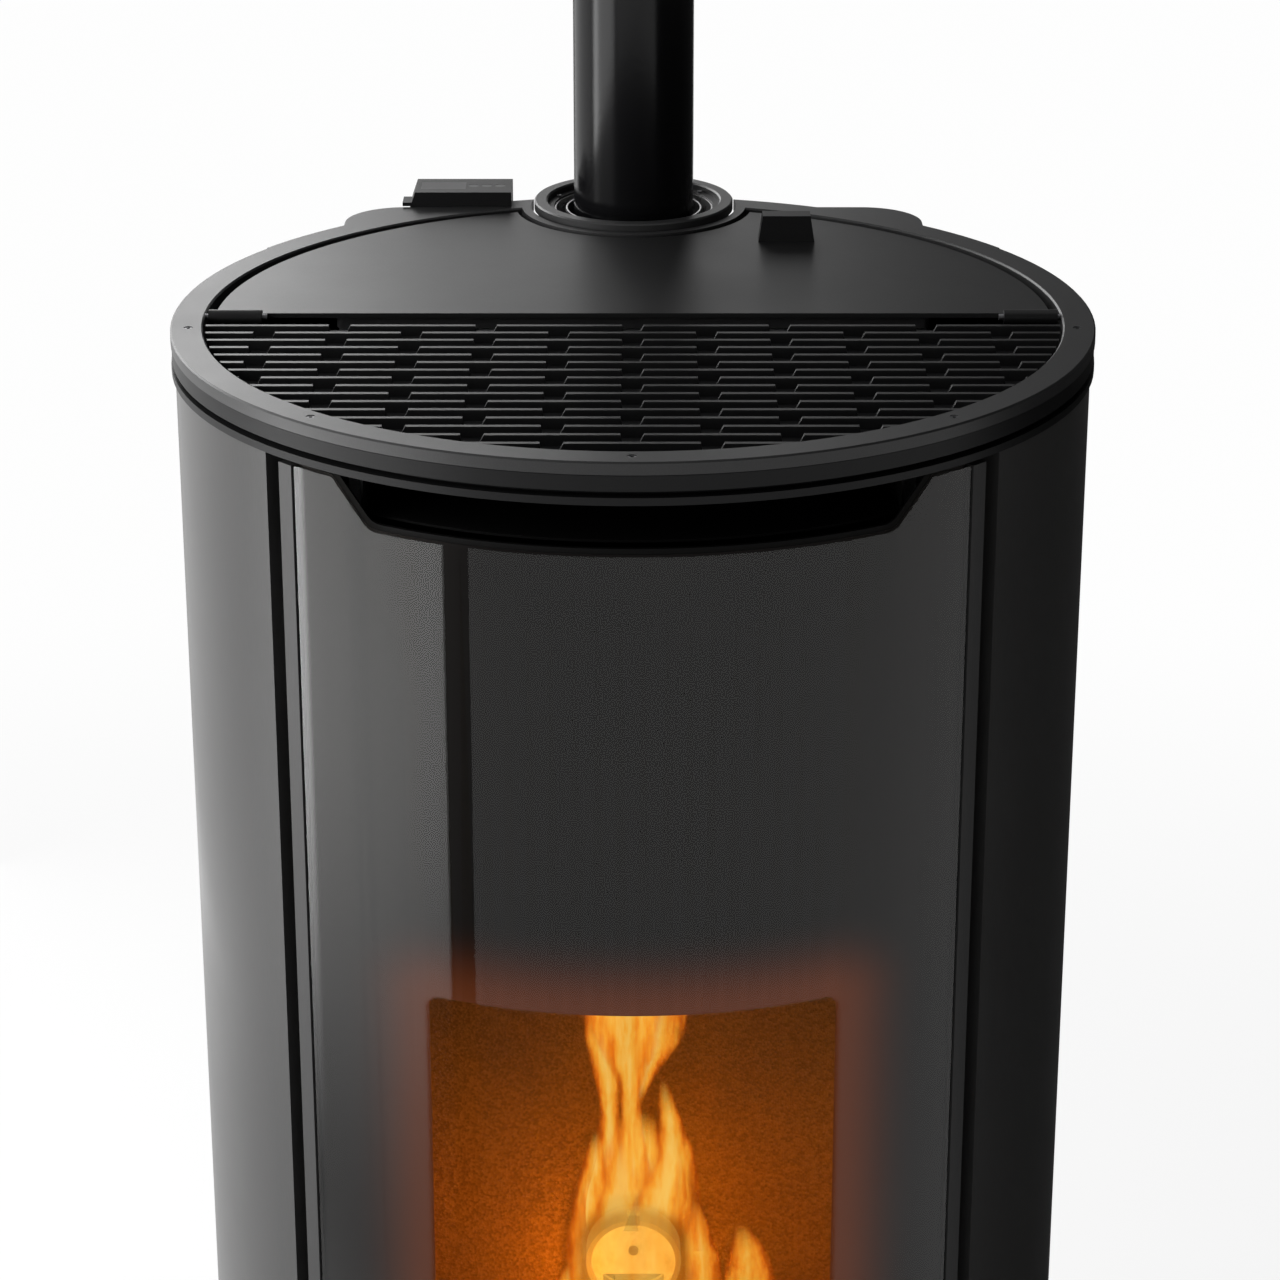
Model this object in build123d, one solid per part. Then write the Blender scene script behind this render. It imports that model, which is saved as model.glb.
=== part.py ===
from build123d import *
import os
from math import cos, radians, sin, tan

os.makedirs("parts", exist_ok=True)

# Sizes in millimetres. +Z is up, -Y is the front, and the floor is at Z = 0.
# The shapes are drawn about the drum's own axis, and save() centres their box.

# Drum and rim
TOP_Z = 1175.0
RIM_R = 280.0
RIM_T = 7.5
RIM_BEVEL = 1.0
REAR_HALF_W = 190.8
REAR_Y = 251.5
REAR_CORNER_R = 38.0
BODY_INSET = 2.1
PANEL_T = 1.5
STEEL_T = 3.0
MID_RING_Z = (TOP_Z - 17.0, TOP_Z - 8.0)
NECK_Z = (TOP_Z - 20.5, TOP_Z - 17.0)
LOWER_RING_Z = (TOP_Z - 25.0, TOP_Z - 20.5)
LEDGE_Z = TOP_Z - 15.5
OPENING_R = 260.4
LEDGE_R = 249.0
FRONT_LEDGE_R = 225.0

# Flue
FLUE_Y = 257.0
PIPE_R = 40.0
PIPE_WALL = 1.5
PIPE_RISE = 255.0
SOCKET_L = 50.0
SOCKET_R = 40.2
COLLAR_R = 66.6
COLLAR_BORE_R = 57.7
COLLAR_Z = (TOP_Z - 1.6, TOP_Z + 4.6)
SCOOP_R = 69.0
STRIP_R = 75.0
JACKET_R = 64.0
SLEEVE_RADII = (45.5, 53.0)
SLEEVE_BASE_Z = TOP_Z - 61.0
TEE_Z = 200.0
TEE_TOP_Z = 252.0
TEE_BOTTOM_Z = 140.0
CAP_Z = (130.0, 158.0)
JACKET_BOTTOM_Z = 150.0
REAR_SLOT_Z = 92.0
CAP_R = 42.0
CAP_BORE_R = 40.06

# Grille
GRILLE_R = 258.8
ROW_COUNT = 17
ROW_PITCH = 14.9
FIRST_ROW_Y = -7.0
FIN_T = 3.5
FIN_L = 75.4
FIN_PITCH = 88.6
FIN_TOP = TOP_Z - 1.5
WEB_TOP = TOP_Z - 8.0
WEB_W = 13.0
LONG_DRAFT = 3.5
SHORT_DRAFT = 1.5

# Hopper lid
LID_R = 254.5
LID_FRONT_Y = 5.5
LID_FLUE_R = 79.0
LID_Z = (TOP_Z - 4.0, TOP_Z - 1.0)
LID_RIM_Z = TOP_Z - 13.0
LID_RIM_T = 2.0
LID_PIN_R = 2.0
LID_PIN_Y = 2.5
LID_PIN_Z = TOP_Z - 2.5
KNUCKLE_R = 4.5
KNUCKLE_X = (226.0, 258.5)
GRIP_X = 99.5
GRIP_Y = (167.0, 180.0)
GRIP_H = 17.5
GRIP_BASE_W = 36.5
GRIP_TOP_W = 31.0

# Door
GLASS_R = 276.5
GLASS_T = 4.0
PRINT_T = 0.4
DOOR_PLATE_T = 2.5
GLASS_ANGLE = 43.5
TRIM_ANGLES = (43.75, 46.0)
TRIM_R = 277.5
PANEL_ANGLE = 48.3
DOOR_Z = (444.0, TOP_Z - 29.0)
WINDOW_ANGLE = 25.3
WINDOW_Z = (490.0, TOP_Z - 338.0)
WINDOW_CORNER_R = 6.5
VENT_TOP_X = 167.6
VENT_BOTTOM_X = 146.5
VENT_BOTTOM_Z = TOP_Z - 56.0
VENT_CORNER_R = 10.0
VENT_LINER = 3.3
TUNNEL_HALF_W = 126.0
TUNNEL_Z = (484.0, 844.0)
SEAL_FACE_Y = -214.0
FLANGE_W = 18.0
DOOR_PIVOT_ANGLE = 44.2
DOOR_PIVOT_R = 263.0
DOOR_PIN_R = 4.0
DOOR_KNUCKLE_R = 6.0
HINGE_CRANK = 50.0
DOOR_KNUCKLE_ZS = ((470.0, 500.0), (1090.0, 1120.0))
RUNNING = 0.05

# Firebox
FIRE_FRONT_Y = -208.0
FIRE_BACK_Y = -40.0
LINING_T = 20.0
SIDE_LINING_T = 15.0
SHELL_T = 4.0
FRONT_OPENING_X = 128.0
ASH_OPENING_Z = (326.0, 428.0)
FIRE_HALF_W = 140.0
FIRE_Z = (320.0, 960.0)
FLOOR_Z = (470.0, 478.0)
BOSS_Z = TOP_Z - 628.0
BOSS_R = 31.0
BOSS_L = 19.0
CHUTE_R = 27.0
CHUTE_SLOPE = 50.0
POT_X = 50.0
POT_Y = (-149.0, -69.0)
POT_Z = (430.0, 494.0)
POT_WALL = 5.0
POT_LIP = 8.0
DRAWER_Z = (300.0, 440.0)
PAN_HALF_W = 122.0
PAN_Y = (-222.0, -40.0)
PAN_Z = (330.0, 420.0)
EXCHANGER_Z = (960.0, 1075.0)
AIR_TUBE_R = 16.0

# Hopper and feed
MOUTH_HALF_W = 180.0
MOUTH_Y = (12.0, 170.0)
MOUTH_Z = TOP_Z - 12.0
TAPER_Z = (540.0, 800.0)
GUARD_Z = (792.4, 795.4)
THROAT_HALF_W = 32.0
THROAT_Y = (108.0, 164.0)
AUGER_LOW = (120.0, 400.0)
AUGER_HIGH = (40.0, 600.0)
AUGER_R = 30.0
AUGER_BORE_R = 28.0
FLIGHT_R = 26.0
FLIGHT_PITCH = 40.0

# Fans, air and electrics
SMOKE_FAN_X = 98.0
SMOKE_FAN_Z = 190.0
SMOKE_FAN_R = 70.0
SMOKE_FAN_Y = (130.0, 180.0)
ROOM_FAN_Y = -80.0
ROOM_FAN_Z = 180.0
ROOM_FAN_HALF_L = 110.0
INTAKE_X = -100.0
INTAKE_Z = 385.0
INTAKE_R = 25.0
INTAKE_DUCT_R = 24.0
INTAKE_BORE_R = 22.5
INTAKE_Y = (272.0, 312.0)
CASE_X = (-150.0, -82.0)
CASE_Y = (252.0, 288.0)
CASE_Z = (TOP_Z - 52.0, TOP_Z + 10.0)
BUTTON_R = 3.5
BUTTON_XS = (-108.0, -99.0, -90.0)
BUTTON_Y = 270.0
INLET_X = (-138.0, -76.0)
INLET_Z = (116.0, 152.0)
INLET_FACE_Y = 270.0
ROCKER_X = -88.0
ROCKER_Z = 134.0

# Base and frame
POST_FRONT_Y = -160.0
BASE_PLATE_Z = (66.0, 70.0)
BOTTOM_RING_Z = (70.0, 80.0)
SKIRT_Z = (14.0, 66.0)
FOOT_XY = ((-150.0, -150.0), (150.0, -150.0), (-140.0, 195.0), (140.0, 195.0))

PANEL_Z = (BOTTOM_RING_Z[1], LOWER_RING_Z[0])
DRUM_Y = (RIM_R - FLUE_Y - COLLAR_R) / 2
PIVOT_X = -DOOR_PIVOT_R * sin(radians(DOOR_PIVOT_ANGLE))
PIVOT_Y = -DOOR_PIVOT_R * cos(radians(DOOR_PIVOT_ANGLE))
FAR = 2 * RIM_R


def save(node, *shapes):
    """Writes one named piece, moved so that the whole stove's box is centred."""
    solids = [solid for shape in shapes for solid in shape.solids()]
    piece = solids[0] if len(solids) == 1 else Compound(solids)
    export_step(piece.moved(Location((0, DRUM_Y, 0))), f"parts/{node}.step")


def slab(outline, span):
    """Solid of one flat outline between two heights."""
    return Pos(0, 0, span[0]) * extrude(outline, span[1] - span[0])


def block(x_span, y_span, z_span):
    """Box given by its low and high value along each axis."""
    spans = (x_span, y_span, z_span)
    middle = [(low + high) / 2 for low, high in spans]
    return Pos(*middle) * Box(*[high - low for low, high in spans])


def both_sides(shape):
    """A piece and its mirror image across the stove's middle plane."""
    return [shape, mirror(shape, Plane.YZ)]


def rod(radius, start, end):
    """Round bar between two points."""
    axis = Vector(*end) - Vector(*start)
    place = Plane(origin=start, z_dir=axis)
    return place * Pos(0, 0, axis.length / 2) * Cylinder(radius, axis.length)


def pipe(radius, bore, start, end):
    """Open round tube between two points."""
    return rod(radius, start, end) - rod(bore, start, end)


def tray(x_span, y_span, z_span, wall):
    """Box that is open at its top, with one wall thickness."""
    inner_x = (x_span[0] + wall, x_span[1] - wall)
    inner_y = (y_span[0] + wall, y_span[1] - wall)
    inner = block(inner_x, inner_y, (z_span[0] + wall, z_span[1] + wall))
    return block(x_span, y_span, z_span) - inner


def window_ring(outer_x, inner_x, outer_z, inner_z, y_span):
    """Upright rectangular ring that faces the front."""
    outer = block((-outer_x, outer_x), y_span, outer_z)
    return outer - block((-inner_x, inner_x), y_span, inner_z)


def plan(inset=0.0):
    """The stove's outline from above: a drum joined to a squarer rear."""
    depth = REAR_Y - inset
    corner = max(REAR_CORNER_R - inset, RIM_T)
    rear = RectangleRounded(2 * (REAR_HALF_W - inset), depth, corner)
    return Circle(RIM_R - inset) + Pos(0, depth / 2) * rear


def flue_disc(radius):
    """Disc about the flue's axis."""
    return Pos(0, FLUE_Y) * Circle(radius)


def wedge(half_angle):
    """Sector of the plan that opens towards the front."""
    side = FAR * tan(radians(half_angle))
    return Polygon((0, 0), (-side, -FAR), (side, -FAR), align=None)


def front_band(outer_r, inner_r, half_angle):
    """Curved strip about the drum's axis, across the front."""
    return (Circle(outer_r) - Circle(inner_r)) & wedge(half_angle)


def side_bands(outer_r, inner_r, angles):
    """The two curved strips between two angles from the front."""
    return front_band(outer_r, inner_r, angles[1]) - wedge(angles[0])


def rear_half(from_y):
    """Everything in the plan behind one line."""
    return Pos(0, from_y + FAR / 2) * Rectangle(2 * FAR, FAR)


def through_front(outline, to_y):
    """Cutter: an outline of the front view, driven in from the front."""
    return Plane.XZ.offset(-to_y) * extrude(outline, FAR)


def door_frame_of_reference():
    """Place at the door's pivot: X runs along the door and Y points inwards."""
    return Pos(PIVOT_X, PIVOT_Y, 0) * Rot(0, 0, -DOOR_PIVOT_ANGLE)


# Rim, grille and lid


def rim_screw_places():
    """The five screws of the rim, at even steps about the front."""
    for step in range(-2, 3):
        angle = radians(-90 + 42 * step)
        yield 269 * cos(angle), 269 * sin(angle)


def top_ring():
    opening = Circle(OPENING_R) - flue_disc(STRIP_R)
    ring = slab(plan() - opening - flue_disc(SCOOP_R), (TOP_Z - RIM_T, TOP_Z))
    inner_cone = Pos(0, 0, TOP_Z - RIM_BEVEL / 2) * Cone(OPENING_R, OPENING_R + RIM_BEVEL, RIM_BEVEL)
    outer_cone = Pos(0, 0, TOP_Z - RIM_BEVEL / 2) * Cone(RIM_R, RIM_R - RIM_BEVEL, RIM_BEVEL)
    bevel_span = (TOP_Z - RIM_BEVEL, TOP_Z)
    ring -= inner_cone - slab(flue_disc(STRIP_R), bevel_span)
    ring -= slab(Circle(RIM_R + 1), bevel_span) - outer_cone - slab(plan() & rear_half(150), bevel_span)
    for x, y in rim_screw_places():
        ring -= rod(2.6, (x, y, TOP_Z - 3), (x, y, TOP_Z + 1))
    pin_hole = rod(LID_PIN_R, (255, LID_PIN_Y, LID_PIN_Z), (266, LID_PIN_Y, LID_PIN_Z))
    for hole in both_sides(pin_hole):
        ring -= hole
    return ring


def rim_screws():
    for x, y in rim_screw_places():
        head = rod(2.6, (x, y, TOP_Z - 3), (x, y, TOP_Z - 0.4))
        yield head - Pos(x, y, TOP_Z - 1.2) * extrude(RegularPolygon(1.3, 6), 2)


def mid_ring():
    ring = slab(plan(0.5), MID_RING_Z) + slab(plan(8), NECK_Z)
    seat = Circle(OPENING_R + 1.6) - flue_disc(STRIP_R)
    ring -= slab(seat, (LEDGE_Z, MID_RING_Z[1]))
    ring -= slab(Circle(LEDGE_R) - flue_disc(STRIP_R), (NECK_Z[0], LEDGE_Z))
    return ring - slab(flue_disc(SCOOP_R), (NECK_Z[0], MID_RING_Z[1]))


def lower_ring():
    rear_opening = Circle(LEDGE_R) & rear_half(0)
    opening = Circle(FRONT_LEDGE_R) + rear_opening - flue_disc(STRIP_R)
    return slab(plan() - opening - flue_disc(SCOOP_R), LOWER_RING_Z)


def row_y(row):
    """Distance of one grille row from the drum's axis."""
    return FIRST_ROW_Y - row * ROW_PITCH


def grille_row(row):
    """One row: a low bar that carries fins, with a longer draft on their left."""
    fins = 7 - row % 2
    reach = fins * FIN_PITCH / 2
    points = [(-reach, LEDGE_Z), (-reach, WEB_TOP)]
    for fin in range(fins):
        middle = (fin - (fins - 1) / 2) * FIN_PITCH
        left, right = middle - FIN_L / 2, middle + FIN_L / 2
        points += [(left - LONG_DRAFT, WEB_TOP), (left, FIN_TOP)]
        points += [(right, FIN_TOP), (right + SHORT_DRAFT, WEB_TOP)]
    points += [(reach, WEB_TOP), (reach, LEDGE_Z)]
    side_view = Polygon(*points, align=None)
    return Plane.XZ.offset(-row_y(row) - FIN_T / 2) * extrude(side_view, FIN_T)


def grille_webs(row):
    """Low webs that tie a row to its neighbours at the gaps between its fins."""
    gaps = 8 - row % 2
    low_y = max(row_y(row) - ROW_PITCH, row_y(ROW_COUNT - 1))
    high_y = min(row_y(row) + ROW_PITCH, FIRST_ROW_Y)
    for gap in range(gaps):
        middle = (gap - (gaps - 1) / 2) * FIN_PITCH
        x_span = (middle - WEB_W / 2, middle + WEB_W / 2)
        yield block(x_span, (low_y, high_y), (LEDGE_Z, WEB_TOP))


def top_grille():
    rim = Circle(GRILLE_R) - Circle(GRILLE_R - 5)
    pieces = [slab(rim, (LEDGE_Z, WEB_TOP))]
    for row in range(ROW_COUNT):
        pieces.append(grille_row(row))
        pieces.extend(grille_webs(row))
    lattice = pieces[0].fuse(*pieces[1:])
    bed = Circle(GRILLE_R) - rear_half(FIRST_ROW_Y + FIN_T / 2)
    return lattice & slab(bed, (LEDGE_Z, FIN_TOP))


def lid_plan(inset=0.0, front=LID_FRONT_Y):
    """Outline of the lid, hollowed round the flue."""
    half = Circle(LID_R - inset) & rear_half(front)
    return half - flue_disc(LID_FLUE_R + inset)


def hopper_lid():
    """Flat lid with a turned-down rim, which leaves its hinged edge open."""
    lid = slab(lid_plan(), (LID_RIM_Z, LID_Z[1]))
    lid -= slab(lid_plan(LID_RIM_T, LID_FRONT_Y - 1), (LID_RIM_Z, LID_Z[0]))
    ends = [(x, LID_PIN_Y, LID_PIN_Z) for x in KNUCKLE_X]
    for knuckle in both_sides(rod(KNUCKLE_R, *ends)):
        lid += knuckle
    for bore in both_sides(rod(LID_PIN_R + RUNNING, *ends)):
        lid -= bore
    return lid


def lid_hinge_pins():
    ends = [(x, LID_PIN_Y, LID_PIN_Z) for x in (KNUCKLE_X[0] - 3, 266)]
    return both_sides(rod(LID_PIN_R, *ends))


def lid_grip():
    """Upright tab for the fingers, hollow at the back."""
    base, top = GRIP_BASE_W / 2, GRIP_TOP_W / 2
    face = Polygon((-base, 0), (base, 0), (top, GRIP_H), (-top, GRIP_H), align=None)
    depth = GRIP_Y[1] - GRIP_Y[0]
    tab = Plane.XZ.offset(-depth) * extrude(face, depth)
    tab = Pos(GRIP_X, GRIP_Y[0], LID_Z[1]) * tab
    hollow_x = (GRIP_X - top + 3, GRIP_X + top - 3)
    return tab - block(hollow_x, (GRIP_Y[0] + 4, GRIP_Y[1] + 1), (LID_Z[1] + 3, LID_Z[1] + 14))


def lid_seal():
    outer = RectangleRounded(2 * MOUTH_HALF_W + 3, MOUTH_Y[1] - MOUTH_Y[0] + 3, 4)
    inner = RectangleRounded(2 * MOUTH_HALF_W - 7, MOUTH_Y[1] - MOUTH_Y[0] - 7, 2)
    ring = Pos(0, sum(MOUTH_Y) / 2) * (outer - inner)
    return slab(ring, (MOUTH_Z, LID_Z[0] - 0.3))


# Flue


def flue_collar():
    lip = slab(flue_disc(COLLAR_R) - flue_disc(SLEEVE_RADII[1] + 0.3), (COLLAR_Z[0], TOP_Z))
    rim = slab(flue_disc(COLLAR_R) - flue_disc(COLLAR_BORE_R), COLLAR_Z)
    collar = lip + rim
    top_edges = collar.faces().sort_by(Axis.Z)[-1].edges()
    return chamfer(top_edges, RIM_BEVEL)


def flue_screws():
    radius = (SLEEVE_RADII[1] + COLLAR_BORE_R) / 2
    for step in range(3):
        angle = radians(-84 + 120 * step)
        x, y = radius * cos(angle), FLUE_Y + radius * sin(angle)
        yield rod(1.6, (x, y, TOP_Z), (x, y, TOP_Z + 1.2))


def flue_sleeves():
    for radius in SLEEVE_RADII:
        yield slab(flue_disc(radius) - flue_disc(radius - 1), (SLEEVE_BASE_Z, TOP_Z - 1.2))


def sleeve_plate():
    ring = flue_disc(JACKET_R - PANEL_T - 0.1) - flue_disc(PIPE_R + 0.3)
    return slab(ring, (SLEEVE_BASE_Z - STEEL_T, SLEEVE_BASE_Z))


def flue_pipe():
    bottom = SLEEVE_BASE_Z - STEEL_T
    shoulder = TOP_Z + PIPE_RISE
    ring = flue_disc(PIPE_R) - flue_disc(PIPE_R - PIPE_WALL)
    socket = flue_disc(SOCKET_R + PIPE_WALL) - flue_disc(SOCKET_R)
    step = flue_disc(SOCKET_R + PIPE_WALL) - flue_disc(PIPE_R - PIPE_WALL)
    length = slab(ring, (bottom, shoulder - PIPE_WALL))
    length += slab(step, (shoulder - PIPE_WALL, shoulder))
    return length + slab(socket, (shoulder, shoulder + SOCKET_L))


def flue_riser():
    bottom = SLEEVE_BASE_Z - STEEL_T
    wall = flue_disc(PIPE_R) - flue_disc(PIPE_R - 3)
    spigot = flue_disc(PIPE_R - 1.7) - flue_disc(PIPE_R - 3)
    return slab(wall, (TEE_TOP_Z, bottom)) + slab(spigot, (bottom, TOP_Z - 15))


def flue_tee():
    low, high = (0, FLUE_Y, TEE_BOTTOM_Z), (0, FLUE_Y, TEE_TOP_Z)
    branch_end = (0, FLUE_Y - 54, TEE_Z)
    outside = rod(PIPE_R, low, high) + rod(PIPE_R - 4, (0, FLUE_Y, TEE_Z), branch_end)
    inside = rod(PIPE_R - 1.5, low, high)
    return outside - inside - rod(PIPE_R - 5.5, (0, FLUE_Y, TEE_Z), branch_end)


def cleanout_cap():
    floor = CAP_Z[0]
    cap = slab(flue_disc(CAP_R), CAP_Z) - slab(flue_disc(CAP_BORE_R), (floor + 2, CAP_Z[1]))
    return cap + block((-14, 14), (FLUE_Y - 2, FLUE_Y + 2), (floor - 12, floor))


def flue_jacket():
    """Round casing of the flue, with a screwing flange at each side."""
    span = (JACKET_BOTTOM_Z, COLLAR_Z[0])
    inner_r = JACKET_R - PANEL_T
    casing_r = RIM_R - BODY_INSET
    jacket = slab(flue_disc(JACKET_R), span)
    wings = Circle(casing_r + PANEL_T) - Circle(casing_r)
    wings &= Pos(0, FLUE_Y) * Rectangle(2 * JACKET_R + 22, 2 * JACKET_R)
    jacket += slab(wings, (JACKET_BOTTOM_Z, LOWER_RING_Z[0] - 1))
    jacket -= slab(flue_disc(inner_r), span)
    return jacket - rod(PIPE_R - 3, (0, FLUE_Y, TEE_Z), (0, FLUE_Y - 90, TEE_Z))


# Casing and base


def casing_wall():
    """The whole sheet wall of the casing, before it is split into panels."""
    return slab(plan(BODY_INSET) - plan(BODY_INSET + PANEL_T), PANEL_Z)


def side_panels():
    rear = block((-150, 150), (0, FAR), (0, TOP_Z))
    walls = casing_wall() - slab(wedge(PANEL_ANGLE), PANEL_Z) - rear
    inner_r = RIM_R - BODY_INSET - PANEL_T
    returns = slab(side_bands(inner_r + 0.5, inner_r - 14, (PANEL_ANGLE, PANEL_ANGLE + 0.35)), PANEL_Z)
    return (walls + returns).solids().sort_by(Axis.X)


def vent_slots():
    """Cutters for the rows of slots that let air in at the back."""
    for column in (-104, 104):
        for row in range(10):
            low = 205 + 14 * row
            if column > 0 or low > INTAKE_Z + 40 or low < INTAKE_Z - 45:
                yield block((column - 26, column + 26), (REAR_Y - 10, RIM_R), (low, low + 5))


def rear_panel():
    panel = casing_wall() & block((-150, 150), (0, FAR), (0, TOP_Z))
    panel -= slab(flue_disc(JACKET_R + 1), (REAR_SLOT_Z, TOP_Z))
    panel -= rod(INTAKE_R + 1, (INTAKE_X, 200, INTAKE_Z), (INTAKE_X, 300, INTAKE_Z))
    panel -= block(INLET_X, (200, 300), INLET_Z)
    for slot in vent_slots():
        panel -= slot
    return panel


def bottom_ring():
    return slab(plan() - plan(30), BOTTOM_RING_Z)


def base_plate():
    return slab(plan(10), BASE_PLATE_Z)


def plinth_skirt():
    return slab(plan(14) - plan(16), SKIRT_Z)


def levelling_feet():
    for x, y in FOOT_XY:
        foot = rod(22, (x, y, 0), (x, y, 8)) + rod(5, (x, y, 8), (x, y, BASE_PLATE_Z[0]))
        nut = Pos(x, y, 8) * extrude(RegularPolygon(10, 6), 7)
        yield foot + nut


def frame_posts():
    """Four upright angle posts that carry the rings."""
    size, span = 23, (BASE_PLATE_Z[1], LOWER_RING_Z[0])
    for x, y, inward_y in ((163, POST_FRONT_Y, 1), (135, 215, -1)):
        y_span = sorted((y, y + inward_y * size))
        web_y = sorted((y, y + inward_y * STEEL_T))
        post = block((x, x + size), web_y, span) + block((x + size - STEEL_T, x + size), y_span, span)
        yield from both_sides(post)


def lower_front_panel():
    return slab(front_band(TRIM_R, TRIM_R - 2, TRIM_ANGLES[1]), (PANEL_Z[0], DRAWER_Z[0] - 4))


def front_panel_brackets():
    """Two shelves behind the lower front panel, fixed to the front posts."""
    for low in (110, 270):
        shelf = front_band(TRIM_R - 2, TRIM_R - 22, TRIM_ANGLES[1])
        yield slab(shelf, (low, low + 2))


# Door


def vent_cut(lift):
    """Cutter for the warm air outlet; lift draws its edge in by one margin."""
    bottom, top = VENT_BOTTOM_Z + lift, TOP_Z
    slope = (VENT_TOP_X - VENT_BOTTOM_X) / (DOOR_Z[1] - VENT_BOTTOM_Z)
    low_x = VENT_BOTTOM_X - 0.6 * lift
    high_x = low_x + slope * (top - bottom)
    outline = Polygon((-low_x, bottom), (low_x, bottom), (high_x, top), (-high_x, top), align=None)
    corners = outline.vertices().sort_by(Axis.Y)[:2]
    return through_front(fillet(corners, VENT_CORNER_R), -100)


def window_cut():
    """Cutter for the clear part of the glass."""
    width = 2 * GLASS_R * sin(radians(WINDOW_ANGLE))
    height = WINDOW_Z[1] - WINDOW_Z[0]
    outline = RectangleRounded(width, height, WINDOW_CORNER_R)
    return through_front(Pos(0, sum(WINDOW_Z) / 2) * outline, -100)


def door_glass():
    pane = slab(front_band(GLASS_R, GLASS_R - GLASS_T, GLASS_ANGLE), DOOR_Z)
    return pane - vent_cut(0)


def glass_print():
    """Dark layer on the back of the pane, clear at the window."""
    inner_r = GLASS_R - GLASS_T
    layer = slab(front_band(inner_r, inner_r - PRINT_T, GLASS_ANGLE), DOOR_Z)
    return layer - vent_cut(0) - window_cut()


def window_bars(half_w, z_span, width, y_span):
    """Two uprights and two rails round a rectangle that faces the front."""
    low, high = z_span
    yield from both_sides(block((half_w, half_w + width), y_span, z_span))
    for rail in ((low - width, low), (high, high + width)):
        yield block((-half_w - width, half_w + width), y_span, rail)


def door_frame():
    """Curved plate round the window, the four walls of its tunnel, their flange and the knuckles."""
    outer_r = GLASS_R - GLASS_T - PRINT_T
    inner_r = outer_r - DOOR_PLATE_T
    plate = slab(front_band(outer_r, inner_r, TRIM_ANGLES[1]), DOOR_Z) - vent_cut(VENT_LINER)
    front = (-FAR, 0)
    for beside in both_sides(block((TUNNEL_HALF_W, FAR), front, TUNNEL_Z)):
        yield plate & beside
    for z_span in ((DOOR_Z[0], TUNNEL_Z[0]), (TUNNEL_Z[1], DOOR_Z[1])):
        yield plate & block((-FAR, FAR), front, z_span)
    within = slab(Circle(inner_r), (0, TOP_Z))
    for wall in window_bars(TUNNEL_HALF_W, TUNNEL_Z, STEEL_T, (-FAR, SEAL_FACE_Y)):
        yield wall & within
    outer_z = (TUNNEL_Z[0] - STEEL_T, TUNNEL_Z[1] + STEEL_T)
    yield from window_bars(TUNNEL_HALF_W + STEEL_T, outer_z, FLANGE_W, (SEAL_FACE_Y - STEEL_T, SEAL_FACE_Y))
    bore = rod(DOOR_PIN_R + RUNNING, (PIVOT_X, PIVOT_Y, 0), (PIVOT_X, PIVOT_Y, TOP_Z))
    place = door_frame_of_reference()
    for low, high in DOOR_KNUCKLE_ZS:
        knuckle = rod(DOOR_KNUCKLE_R, (0, 0, low), (0, 0, high))
        knuckle += block((-5, 5), (-7.5, -3), (low, high))
        yield (place * knuckle & within) - bore


def door_gasket():
    outer_z = (TUNNEL_Z[0] - 15, TUNNEL_Z[1] + 14)
    inner_z = (TUNNEL_Z[0] - 5, TUNNEL_Z[1] + 4)
    return window_ring(141, 131, outer_z, inner_z, (SEAL_FACE_Y, FIRE_FRONT_Y - 0.4))


def door_trims():
    strips = slab(side_bands(TRIM_R, GLASS_R - GLASS_T - PRINT_T, TRIM_ANGLES), DOOR_Z)
    return strips.solids()


def door_hinge_pins():
    for low, high in DOOR_KNUCKLE_ZS:
        yield rod(DOOR_PIN_R, (PIVOT_X, PIVOT_Y, low - 5), (PIVOT_X, PIVOT_Y, high + 5))


def door_hinge_brackets():
    """Cranked channels that hold the pins, each fixed to the left front post."""
    reach, half_w, gap = 15, 4.8, 0.5
    elbow_x = PIVOT_X + reach * sin(radians(HINGE_CRANK))
    elbow_y = PIVOT_Y + reach * cos(radians(HINGE_CRANK))
    ear = Pos(PIVOT_X, PIVOT_Y) * (Circle(half_w) + Rot(0, 0, -HINGE_CRANK) * bar(2 * half_w, reach))
    ear += Pos(elbow_x, elbow_y) * (Circle(half_w) + bar(2 * half_w, POST_FRONT_Y - elbow_y))
    for low, high in DOOR_KNUCKLE_ZS:
        channel = slab(ear, (low - 5, high + 5))
        channel -= block((-FAR, FAR), (-FAR, elbow_y + 6), (low - gap, high + gap))
        yield channel - rod(DOOR_PIN_R, (PIVOT_X, PIVOT_Y, 0), (PIVOT_X, PIVOT_Y, TOP_Z))


def bar(width, length):
    """Rectangle that starts at the origin and runs back."""
    return Pos(0, length / 2) * Rectangle(width, length)


# Warm air outlet


def vent_shape(inset):
    """Inside of the outlet's duct: a shallow box with a curved front."""
    half_w = 152 - inset
    box = block((-half_w, half_w), (-FAR, -130 - inset), (1082 + inset, LOWER_RING_Z[0] - 1 - inset))
    return box & slab(Circle(264), (0, TOP_Z))


def air_vent_duct():
    throat = block((-120, 120), (-215, -203), (1070, 1090))
    return vent_shape(0) - (vent_shape(PANEL_T) + Pos(0, -20, 0) * vent_shape(PANEL_T)) - throat


def vent_blade():
    blade = block((-150, 150), (-FAR, -190), (1121, 1122.5)) & slab(Circle(258), (0, TOP_Z))
    tab = block((92, 93.5), (-222, -190), (1112, 1121))
    return blade + tab


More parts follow.
